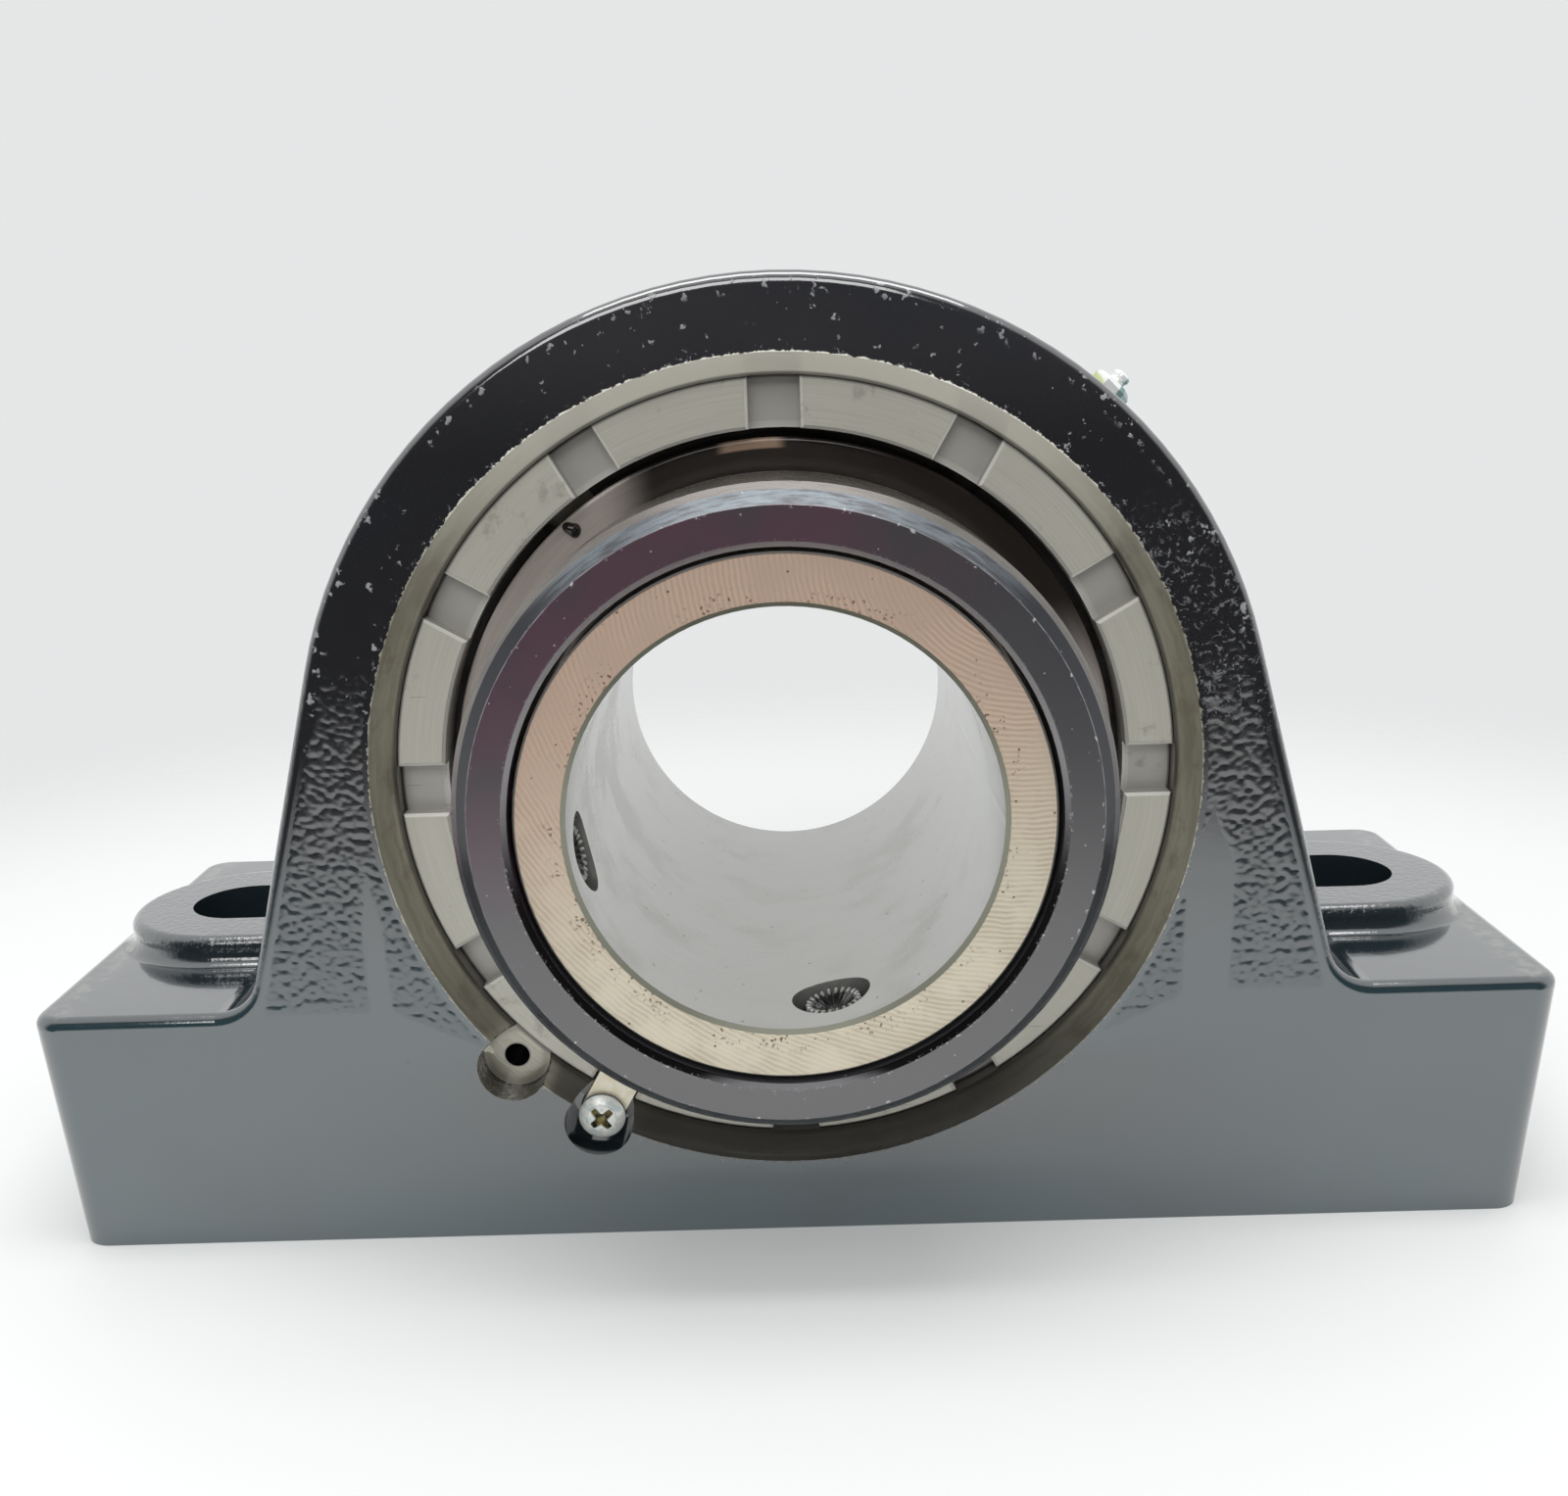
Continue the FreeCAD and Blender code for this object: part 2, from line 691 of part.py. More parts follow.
def collar_face():
    return -front_reach() - size("collar_stand")


def screw_along():
    return collar_face() + size("screw_depth")


def make_inner_ring():
    bore, lead, radius, edge = half("bore_dia"), size("bore_chamfer"), ring_radius(), size("ring_edge")
    front, rear = front_reach(), rear_reach()
    rib, rib_in = radius + size("rib_height"), rib_start()
    rib_out, land = rib_in + size("rib_width"), half("land_width")
    centre_r, centre_y, race_end = race_radius(rib_in)
    land_radius = race_radius(land)[2]
    body = revolved("inner_ring", [
        (bore, -front + lead), (bore + lead, -front), (radius - edge, -front), (radius, -front + edge),
        (radius, -rib_out), (rib, -rib_out), (rib, -rib_in), (race_end, -rib_in),
        arc(land_radius, -land, centre_r, -centre_y, left=False),
        (land_radius, land),
        arc(race_end, rib_in, centre_r, centre_y, left=False),
        (rib, rib_in), (rib, rib_out), (radius, rib_out), (radius, rear - edge),
        (radius - edge, rear), (bore + lead, rear), (bore, rear - lead),
    ])
    for number, angle in enumerate(screw_angles(), start=1):
        cut_radial_hole(body, "screw_hole_%d" % number, angle, screw_along(),
                        half("screw_dia") + size("screw_hole_gap"),
                        bore - size("cut_margin"), radius + size("cut_margin"))


def make_locking_collar():
    radius, inner = collar_radius(), ring_radius() + size("collar_gap")
    front, edge = collar_face(), size("collar_edge")
    rear = front + size("collar_width")
    body = revolved("locking_collar", [
        (inner, front + edge), (inner + edge, front), (radius - size("collar_bevel_width"), front),
        (radius, front + size("collar_bevel_depth")), (radius, rear - edge), (radius - edge, rear),
        (inner, rear),
    ])
    for number, angle in enumerate(screw_angles(), start=1):
        cut_radial_hole(body, "tapped_hole_%d" % number, angle, screw_along(),
                        half("screw_dia") + size("thread_gap"),
                        inner - size("cut_margin"), radius + size("cut_margin"))


def make_set_screw(name, angle):
    """A cup-point set screw along its own Z axis, then turned to point at the shaft."""
    radius, tip = half("screw_dia"), half("bore_dia") + size("screw_recess")
    cup, end, edge = radius - size("cup_bevel"), collar_radius() - size("screw_inset"), size("screw_edge")
    body = new_body(name, raised=False)
    sketch = new_sketch(body, "profile", "XZ_Plane")
    draw(sketch, [(0, tip + size("cup_depth")), (cup - size("cup_rim"), tip), (cup, tip),
                  (radius, tip + size("cup_bevel")), (radius, end - edge), (radius - edge, end), (0, end)])
    turn(body, "Revolution", "turned", sketch)
    socket = new_sketch(body, "socket_plan", "XY_Plane", offset=end)
    draw_hexagon(socket, size("socket_width"))
    extrude(body, "Pocket", "socket", socket, size("socket_depth"))
    lean = 90 - angle
    move_body(body, 0, screw_along(), size("centre_height"), Rotation(Vector(0, 1, 0), lean.number))
    body.setExpression("Placement.Rotation.Angle", lean.text)


def make_threaded_cover():
    """Adjusting cover: a threaded ring with spanner notches and a seat for the front seal case."""
    radius, bore, face = cover_radius(), cover_bore(), size("cover_setback") - housing_face()
    seat, rear, edge = -case_start(), -half("outer_ring_width"), size("cover_edge")
    groove, groove_low, groove_high = clip_groove()
    body = revolved("threaded_cover", [
        (bore, face + edge), (bore + edge, face), (radius - edge, face), (radius, face + edge),
        (radius, rear), (bore - size("seal_shoulder"), rear), (bore - size("seal_shoulder"), seat),
        (bore, seat), (bore, -groove_low), (groove, -groove_low), (groove, -groove_high),
        (bore, -groove_high),
    ])
    wide, depth, bevel = half("notch_width"), size("notch_depth"), size("notch_edge")
    over = size("cut_margin")
    sketch = new_sketch(body, "notch_section", "XY_Plane", offset=bore - over)
    draw(sketch, [(-wide - bevel, face - over), (wide + bevel, face - over), (wide + bevel, face),
                  (wide, face + bevel), (wide, face + depth), (-wide, face + depth),
                  (-wide, face + bevel), (-wide - bevel, face)])
    notch = extrude(body, "Pocket", "notch", sketch, radius - bore + over * 2, backwards=True)
    repeat(body, notch, size("notch_count"))


def case_middle():
    return case_start() + half("case_width")


def seat_ball_radius():
    """Radius of the seal case's spherical seat about the bearing centre."""
    across = ring_radius() + size("seal_wall")
    return root(across * across + case_middle() * case_middle())


def make_seal_case(name, side):
    """Pressed ring with a spherical seat, so that the seal can tilt with the shaft."""
    radius, ball = cover_bore() - size("case_gap"), seat_ball_radius()
    low, high = case_start(), case_start() + size("case_width")
    steps = [(leg(ball, low), low), (radius, low), (radius, high), (leg(ball, high), high)]
    mirrored = [(r, side * y) for r, y in steps]
    mirrored[0] = arc(mirrored[0][0], mirrored[0][1], 0, 0, left=side < 0)
    revolved(name, mirrored)


def make_seal_ring(name, side):
    """Floating seal: it tilts in the seal case and stays square to the inner ring."""
    low, high = case_middle() - half("seal_width"), case_middle() + half("seal_width")
    ball, inner = seat_ball_radius() - size("seal_gap"), ring_radius() + size("running_gap")
    revolved(name, [
        (inner, side * low), (leg(ball, low), side * low),
        arc(leg(ball, high), side * high, 0, 0, left=side > 0), (inner, side * high),
    ])


def make_snap_ring(name, side):
    """Retaining ring with two pierced lugs beside its gap."""
    outer = cover_bore() + size("clip_groove_depth") - size("clip_slack")
    inner = cover_bore() - size("clip_reach")
    angle, opening = size("clip_angle"), half("clip_opening")
    offset = clip_start() if side < 0 else -clip_start() - size("clip_thickness")
    body = new_body(name)
    sketch = new_sketch(body, "plan", "XZ_Plane", offset=offset, angle=angle)
    tips = [(leg(radius, opening), radius) for radius in (outer, inner)]
    (outer_x, _), (inner_x, _) = tips
    draw(sketch, [arc(inner_x, -opening, 0, 0), (outer_x, -opening), arc(-outer, 0, 0, 0, left=False),
                  arc(outer_x, opening, 0, 0, left=False), (inner_x, opening), arc(-inner, 0, 0, 0)])
    extrude(body, "Pad", "band", sketch, size("clip_thickness"))
    lug_y = opening + size("lug_radius")
    lugs = new_sketch(body, "lug_plan", "XZ_Plane", offset=offset, angle=angle)
    holes = new_sketch(body, "hole_plan", "XZ_Plane", offset=offset, angle=angle)
    for sign in (-1, 1):
        draw_circle(lugs, inner_x, sign * lug_y, size("lug_radius"))
        draw_circle(holes, inner_x, sign * lug_y, half("lug_hole_dia"))
    extrude(body, "Pad", "lugs", lugs, size("clip_thickness"))
    extrude(body, "Pocket", "holes", holes, backwards=True)


def make_flinger(name, side):
    """Thin disc on a short hub that throws dirt off the seal."""
    inner, outer = ring_radius() + size("flinger_gap"), cover_bore() - size("flinger_margin")
    hub, low = inner + size("flinger_hub"), flinger_start()
    high, hub_end = low + size("flinger_thickness"), low - size("flinger_hub_length")
    steps = [(inner, high), (outer, high), (outer, low), (hub, low), (hub, hub_end), (inner, hub_end)]
    revolved(name, [(r, side * y) for r, y in steps])


def make_cage(name, side):
    """Conical strip along the roller axes with a window for each roller."""
    _, place_r, place_y = roller_place()
    lean = side * size("contact_angle")
    frame = {"shift": (place_r, side * place_y), "angle": lean}
    thick = half("cage_thickness")
    long_half = half("roller_length") + size("pocket_gap")
    end = long_half + size("cage_rim")
    pocket = half("roller_dia") + size("pocket_gap")
    body = new_body(name)
    strip = new_sketch(body, "strip", "XY_Plane")
    corners = [(-thick, -end), (thick, -end), (thick, end), (-thick, end)]
    draw(strip, [(place_r + u * cos(lean) - v * sin(lean),
                  side * place_y + u * sin(lean) + v * cos(lean)) for u, v in corners])
    turn(body, "Revolution", "turned", strip)
    window = new_sketch(body, "window", "XY_Plane", **frame)
    draw(window, [(0, -long_half), (pocket, -long_half), (pocket, long_half), (0, long_half)])
    repeat(body, turn(body, "Groove", "window_cut", window), size("roller_count"))


def make_guide_ring():
    inner = race_radius(half("land_width"))[2] + size("guide_gap")
    outer, end = inner + size("guide_wall"), half("guide_width")
    revolved("guide_ring", [(inner, -end), (outer, -end), (outer, end), (inner, end)])


def make_rollers(name, side):
    """One row of barrel rollers, each its own solid, as a single node."""
    _, place_r, place_y = roller_place()
    middle, end = half("roller_dia").number, half("roller_length").number
    curve = sphere_radius().number
    end_radius = middle - curve + math.sqrt(curve * curve - end * end)
    barrel = Part.Arc(Vector(end_radius, 0, -end), Vector(middle, 0, 0), Vector(end_radius, 0, end))
    corners = [Vector(end_radius, 0, end), Vector(0, 0, end), Vector(0, 0, -end), Vector(end_radius, 0, -end)]
    outline = [barrel.toShape(), Part.makePolygon(corners)]
    roller = Part.Face(Part.Wire(outline)).revolve(Vector(), Vector(0, 0, 1), 360)
    lean = side * size("contact_angle").number
    axis = Vector(-math.sin(math.radians(lean)), math.cos(math.radians(lean)), 0)
    roller.Placement = Placement(Vector(place_r.number, side * place_y.number, 0),
                                 Rotation(Vector(0, 0, 1), axis))
    count = int(size("roller_count").number)
    row = [roller.copy() for _ in range(count)]
    for number, copy in enumerate(row):
        copy.rotate(Vector(), Vector(0, 1, 0), 360 / count * number)
    feature = doc.addObject("Part::Feature", name)
    feature.Label = name
    feature.Shape = Part.makeCompound(row)
    feature.Placement = Placement(Vector(0, 0, size("centre_height").number), Rotation())


def make_lock_tab():
    """Flat strip screwed into a counterbore; its end lies in a notch of the cover."""
    wide, reach = half("tab_width"), lock_reach()
    inner, floor = cover_bore() + size("tab_end_gap"), housing_face() - size("lock_well_depth")
    body = new_body("lock_tab")
    sketch = new_sketch(body, "plan", "XZ_Plane", offset=floor, angle=size("lock_angle"))
    draw(sketch, [(inner, -wide), (reach, -wide), arc(reach, wide, reach, 0), (inner, wide)])
    draw_circle(sketch, reach, 0, half("lock_hole_dia") + size("thread_gap"))
    extrude(body, "Pad", "plate", sketch, size("tab_thickness"))


def make_lock_screw():
    """Domed screw that holds the lock tab."""
    head, shank = half("lock_head_dia"), half("lock_hole_dia") - size("thread_gap")
    height, rim, length = size("lock_head_height"), size("lock_head_rim"), size("lock_screw_length")
    rise, point = height - rim, shank / 2
    dome = (head * head + rise * rise) / (rise * 2)
    body = new_body("lock_screw", raised=False)
    sketch = new_sketch(body, "profile", "XY_Plane")
    draw(sketch, [(0, -height), arc(head, -rim, 0, dome - height), (head, 0), (shank, 0),
                  (shank, length - point), (point, length), (0, length)])
    turn(body, "Revolution", "turned", sketch)
    x, z = lock_place(size("lock_angle"))
    under_head = size("lock_well_depth") - housing_face() - size("tab_thickness")
    move_body(body, x, under_head, size("centre_height") + z)


def make_grease_fitting():
    """Threaded shank, hexagon, neck and rounded head, along its own Z axis."""
    seat, angle = fitting_seat(), size("fitting_angle")
    shank, neck, head = half("fitting_thread_dia"), half("fitting_neck_dia"), half("fitting_head_dia")
    shank_end, step = -size("fitting_thread_length"), size("fitting_nose") / 5
    hexagon_top = size("fitting_stem") + size("fitting_hex_height")
    height = hexagon_top + size("fitting_nose")
    body = new_body("grease_fitting", raised=False)
    sketch = new_sketch(body, "profile", "XZ_Plane")
    draw(sketch, [(0, shank_end), (shank, shank_end), (shank, hexagon_top), (neck, hexagon_top + step),
                  (head, hexagon_top + step * 2), (head, hexagon_top + step * 3),
                  (neck / 2, height), (0, height)])
    turn(body, "Revolution", "turned", sketch)
    plan = new_sketch(body, "hexagon_plan", "XY_Plane", offset=size("fitting_stem"))
    draw_hexagon(plan, size("fitting_hex"))
    extrude(body, "Pad", "hexagon", plan, size("fitting_hex_height"))
    lean = 90 - angle
    move_body(body, seat * cos(angle), 0, size("centre_height") + seat * sin(angle),
              Rotation(Vector(0, 1, 0), lean.number))
    body.setExpression("Placement.Rotation.Angle", lean.text)


def failed_objects():
    return [item.Name for item in doc.Objects if {"Invalid", "Error"} & set(item.State)]


def node_objects():
    return [item for item in doc.Objects
            if item.TypeId == "PartDesign::Body" or item.TypeId == "Part::Feature"]


make_housing()
make_outer_ring()
make_inner_ring()
make_locking_collar()
for screw_number, screw_place in enumerate(screw_angles(), start=1):
    make_set_screw("set_screw_%d" % screw_number, screw_place)
make_threaded_cover()
for row_name, row_side in (("front", -1), ("rear", 1)):
    make_seal_case("seal_case_" + row_name, row_side)
    make_seal_ring("seal_ring_" + row_name, row_side)
    make_snap_ring("snap_ring_" + row_name, row_side)
    make_flinger("flinger_" + row_name, row_side)
    make_cage("cage_" + row_name, row_side)
    make_rollers("rollers_" + row_name, row_side)
make_guide_ring()
make_lock_tab()
make_lock_screw()
make_grease_fitting()
doc.recompute()

broken = failed_objects()
if broken:
    raise RuntimeError("failed objects: " + ", ".join(broken))
os.makedirs("parts", exist_ok=True)
for node in node_objects():
    if node.Shape.isNull() or not node.Shape.isValid():
        raise RuntimeError("bad shape: " + node.Label)
for node in node_objects():
    node.Shape.exportStep("parts/%s.step" % node.Label)
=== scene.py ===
import math

import bmesh
import bpy
from mathutils import Matrix, Vector, noise


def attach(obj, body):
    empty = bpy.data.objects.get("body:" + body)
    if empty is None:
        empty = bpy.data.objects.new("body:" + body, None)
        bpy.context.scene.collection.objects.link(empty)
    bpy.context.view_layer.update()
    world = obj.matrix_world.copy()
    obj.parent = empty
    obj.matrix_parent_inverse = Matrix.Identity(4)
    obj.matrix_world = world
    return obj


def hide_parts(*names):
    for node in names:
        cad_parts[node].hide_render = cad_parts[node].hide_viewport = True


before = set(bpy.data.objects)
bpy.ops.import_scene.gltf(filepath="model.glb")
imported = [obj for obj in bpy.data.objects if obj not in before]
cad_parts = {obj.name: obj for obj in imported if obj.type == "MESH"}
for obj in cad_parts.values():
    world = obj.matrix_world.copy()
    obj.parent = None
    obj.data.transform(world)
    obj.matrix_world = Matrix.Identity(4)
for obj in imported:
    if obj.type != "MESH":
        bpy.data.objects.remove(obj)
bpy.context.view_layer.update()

# The row frame: metres, +Z up, the shaft along Y with its collar on the -Y side.
MM = 0.001

# Places and sizes of the part in millimetres, and directions round the shaft from +X towards +Z.
AXIS_Z = 84.14
HOUSING_FACE = 47.62
COLLAR_FACE = -73.12
RING_FACE = -71.62
THREAD_R = 66.95
MOUTH_R = 70.35
COLLAR_R = 52.2
RING_R = 42.3
BORE_R = 34.13
CROWN_R = 82.5
FLANK_LEAN = math.radians(15.6)
CAST_TOP = 118.0
LOCK_WELL_REACH = 71.45
EMPTY_LOCK_ANGLE = math.radians(225)
LOCK_SCREW_X = 72.05 * math.cos(math.radians(240)) + 0.45
LOCK_SCREW_Z = AXIS_Z + 72.05 * math.sin(math.radians(240))
FITTING_ANGLE = math.radians(45.0)
SCREW_1_ANGLE = math.radians(191.5)
SCREW_2_ANGLE = math.radians(281.5)
BEAD_ANGLE = math.radians(128.5)
SCREW_AXIS_DEPTH = 14.2

# The camera stands where the photograph was taken from; its place is in metres.
CAMERA_AT = (0.00195, -0.3042, 0.1524)
CAMERA_RIGHT = (0.99953, 0.00046, -0.03056)
CAMERA_UP = (0.02905, 0.29667, 0.95451)
CAMERA_SHIFT = 106.6 / 1600


def make_camera():
    """The camera at the photograph's place, with its picture shifted up."""
    data = bpy.data.cameras.new("camera")
    data.sensor_width = 36
    data.lens = 36
    data.shift_y = CAMERA_SHIFT
    data.clip_start = 0.01
    camera = bpy.data.objects.new("camera", data)
    right = Vector(CAMERA_RIGHT).normalized()
    back = right.cross(Vector(CAMERA_UP)).normalized()
    up = back.cross(right)
    camera.matrix_world = Matrix.Translation(CAMERA_AT) @ Matrix((right, up, back)).transposed().to_4x4()
    bpy.context.scene.collection.objects.link(camera)
    bpy.context.scene.camera = camera


class Graph:
    """A node tree with short calls for the nodes used here; lengths in it are millimetres."""

    def __init__(self, tree):
        self.tree = tree
        tree.nodes.clear()

    def node(self, kind, inputs=None, **settings):
        made = self.tree.nodes.new(kind)
        for name, value in settings.items():
            setattr(made, name, value)
        for name, value in (inputs or {}).items():
            self.feed(made.inputs[name], value)
        return made

    def feed(self, socket, value):
        if isinstance(value, bpy.types.NodeSocket):
            self.tree.links.new(value, socket)
        else:
            socket.default_value = value

    def calc(self, operation, first, second=0.0):
        made = self.node("ShaderNodeMath", operation=operation)
        self.feed(made.inputs[0], first)
        self.feed(made.inputs[1], second)
        return made.outputs[0]

    def add(self, *terms):
        total = terms[0]
        for term in terms[1:]:
            total = self.calc("ADD", total, term)
        return total

    def times(self, first, second):
        return self.calc("MULTIPLY", first, second)

    def most(self, *terms):
        total = terms[0]
        for term in terms[1:]:
            total = self.calc("MAXIMUM", total, term)
        return total

    def length(self, *parts):
        squares = [self.times(part, part) for part in parts]
        return self.calc("SQRT", self.add(*squares))

    def step(self, value, low, high):
        """0 below low and 1 above high, or the other way round where low is the larger."""
        made = self.node("ShaderNodeMapRange", interpolation_type="SMOOTHSTEP")
        self.feed(made.inputs["Value"], value)
        if low > high:
            low, high = high, low
            made.inputs["To Min"].default_value, made.inputs["To Max"].default_value = 1, 0
        made.inputs["From Min"].default_value = low
        made.inputs["From Max"].default_value = high
        return made.outputs[0]

    def between(self, value, low, high, soft):
        return self.times(self.step(value, low - soft, low + soft), self.step(value, high + soft, high - soft))

    def vector(self, x, y, z):
        made = self.node("ShaderNodeCombineXYZ")
        for socket, value in zip(made.inputs, (x, y, z)):
            self.feed(socket, value)
        return made.outputs[0]

    def noise(self, where, scale, detail=2.0, rough=0.5):
        made = self.node("ShaderNodeTexNoise", {
            "Vector": where, "Scale": scale, "Detail": detail, "Roughness": rough})
        return made.outputs[0]

    def cells(self, where, scale):
        """Distance to the nearest of scattered points, and a random number for each point."""
        made = self.node("ShaderNodeTexVoronoi", {"Vector": where, "Scale": scale})
        parts = self.node("ShaderNodeSeparateColor", {"Color": made.outputs["Color"]})
        return made.outputs["Distance"], parts.outputs[0]

    def torn(self, where, scale, amount):
        """A texture place pushed about, so that what is laid there gets ragged shapes."""
        push = self.node("ShaderNodeTexNoise", {"Vector": where, "Scale": scale, "Detail": 3.0})
        centred = self.node("ShaderNodeVectorMath", {0: push.outputs["Color"], 1: (0.5,) * 3},
                            operation="SUBTRACT").outputs[0]
        moved = self.node("ShaderNodeVectorMath", {0: centred, 1: (amount,) * 3, 2: where},
                          operation="MULTIPLY_ADD")
        return moved.outputs[0]

    def specks(self, where, scale, size, share):
        """1 in round specks, at a share of the scattered points."""
        distance, number = self.cells(where, scale)
        return self.times(self.step(distance, size, size * 0.6), self.step(number, 1 - share, 1 - share * 0.9))

    def lerp(self, factor, first, second):
        made = self.node("ShaderNodeMix", data_type="FLOAT")
        for index, value in zip((0, 2, 3), (factor, first, second)):
            self.feed(made.inputs[index], value)
        return made.outputs[0]

    def tint(self, factor, first, second):
        made = self.node("ShaderNodeMix", data_type="RGBA")
        for index, value in zip((0, 6, 7), (factor, first, second)):
            self.feed(made.inputs[index], value)
        return made.outputs[2]

    def bump(self, height, depth, under=None):
        """Relief of a height field times a depth in millimetres, over another relief."""
        made = self.node("ShaderNodeBump", {"Height": height, "Strength": 1.0, "Distance": depth * MM})
        if under is not None:
            self.feed(made.inputs["Normal"], under)
        return made.outputs[0]


class Surface(Graph):
    """A material's graph, with the place on the part in millimetres."""

    def __init__(self, name):
        self.material = bpy.data.materials.new(name)
        self.material.use_nodes = True
        super().__init__(self.material.node_tree)
        coordinates = self.node("ShaderNodeTexCoord").outputs["Object"]
        scaled = self.node("ShaderNodeVectorMath", {0: coordinates, 1: (1 / MM,) * 3}, operation="MULTIPLY")
        self.where = scaled.outputs[0]
        parts = self.node("ShaderNodeSeparateXYZ", {0: self.where}).outputs
        self.x, self.y, self.z = parts[0], parts[1], parts[2]
        self.up = self.calc("SUBTRACT", self.z, AXIS_Z)
        self.radius = self.length(self.x, self.up)

    def turned(self, fine, wander=3.0):
        """A texture place whose streaks run round the shaft axis, fine times a millimetre apart."""
        across = self.times(self.add(self.radius, self.times(self.y, 0.77)), fine)
        side = self.times(self.calc("DIVIDE", self.x, self.radius), wander)
        rise = self.times(self.calc("DIVIDE", self.up, self.radius), wander)
        return self.vector(across, side, rise)

    def finish(self, color, metallic, roughness, normal=None, **fixed):
        shader = self.node("ShaderNodeBsdfPrincipled")
        self.feed(shader.inputs["Base Color"], color)
        self.feed(shader.inputs["Metallic"], metallic)
        self.feed(shader.inputs["Roughness"], roughness)
        if normal is not None:
            self.feed(shader.inputs["Normal"], normal)
        for name, value in fixed.items():
            shader.inputs[name.replace("_", " ")].default_value = value
        output = self.node("ShaderNodeOutputMaterial")
        self.feed(output.inputs["Surface"], shader.outputs[0])
        return self.material


def rgb(red, green, blue):
    return (red, green, blue, 1.0)


def well_distance(s):
    """Distance across the face from the axis of the empty lock well."""
    across = s.calc("SUBTRACT", s.x, LOCK_WELL_REACH * math.cos(EMPTY_LOCK_ANGLE))
    rise = s.calc("SUBTRACT", s.z, AXIS_Z + LOCK_WELL_REACH * math.sin(EMPTY_LOCK_ANGLE))
    return s.length(across, rise)


def enamel_chips(s, front):
    """Chips and scuffs of the front: over the crown, at the mouth's rim, at the outer edge, on the right."""
    crown = s.times(s.step(s.z, 88, 104), s.step(s.radius, MOUTH_R - 0.5, MOUTH_R + 0.3))
    place = s.torn(s.where, 1.3, 2.6)
    chips = s.specks(place, 0.30, 0.17, 0.12)
    clusters = s.step(s.noise(s.where, 0.06, 2.0), 0.47, 0.6)
    fine_chips = s.times(s.specks(place, 0.75, 0.26, 0.22), clusters)
    brink = s.times(s.step(s.radius, 78.6, 80.6), s.specks(s.torn(s.where, 0.9, 3.0), 0.55, 0.36, 0.45))
    rim = s.times(s.step(s.radius, MOUTH_R + 1.6, MOUTH_R + 0.2), s.specks(place, 1.2, 0.36, 0.35))
    right = s.times(s.step(s.x, 45, 62), s.between(s.z, 92, 128, 6))
    scuffs = s.times(right, s.step(s.noise(s.torn(s.where, 0.5, 4.0), 0.8, 4.0, 0.7), 0.56, 0.66))
    on_crown = s.times(s.most(chips, fine_chips, brink), crown)
    return s.times(s.most(on_crown, s.times(rim, 0.7), s.times(scuffs, 0.4)), front)


def enamel_paint(s, front, chipped):
    """Black above and blue-grey low on the front, the blue-grey a painted reflection of the pale floor, with
    painted shade in the middle of the base and a painted highlight on the crown's top; iron in the chips, pits
    and dust at the feet.
    """
    # Painted reflection: blue-grey low down, where the pale floor reflects in the front; less on the other
    # faces.
    low = s.step(s.z, 92, 30)
    paint = s.tint(s.times(low, s.lerp(front, 0.45, 1.0)), rgb(0.013, 0.013, 0.015), rgb(0.020, 0.045, 0.054))
    # Painted shade: darker in the middle of the base, low down.
    middle = s.times(s.step(s.calc("ABSOLUTE", s.x), 105, 30), s.step(s.z, 6, 24))
    middle = s.times(middle, s.step(s.z, 40, 30))
    paint = s.tint(s.times(middle, 0.7), paint, rgb(0.012, 0.014, 0.016))
    # Painted highlight: the crown's top is a little lighter.
    paint = s.tint(s.times(s.step(s.z, 138, 158), 0.9), paint, rgb(0.030, 0.029, 0.033))
    cloud = s.noise(s.where, 0.02, 3.0, 0.55)
    paint = s.tint(s.times(s.step(cloud, 0.45, 0.7), 0.35), paint, rgb(0.012, 0.016, 0.021))
    paint = s.tint(s.times(chipped, 0.8), paint, rgb(0.30, 0.31, 0.33))
    pits = s.times(s.specks(s.where, 0.16, 0.07, 0.5), s.step(s.z, 46, 43))
    paint = s.tint(pits, paint, rgb(0.004, 0.004, 0.004))
    foot_edge = s.between(s.calc("ABSOLUTE", s.x), 129.5, 134.0, 1.5)
    foot_edge = s.times(foot_edge, s.between(s.z, 45.4, 49.5, 0.6))
    dusty = s.times(foot_edge, s.step(s.noise(s.where, 0.35, 3.0, 0.7), 0.42, 0.6))
    return s.tint(s.times(dusty, 0.55), paint, rgb(0.42, 0.42, 0.33))


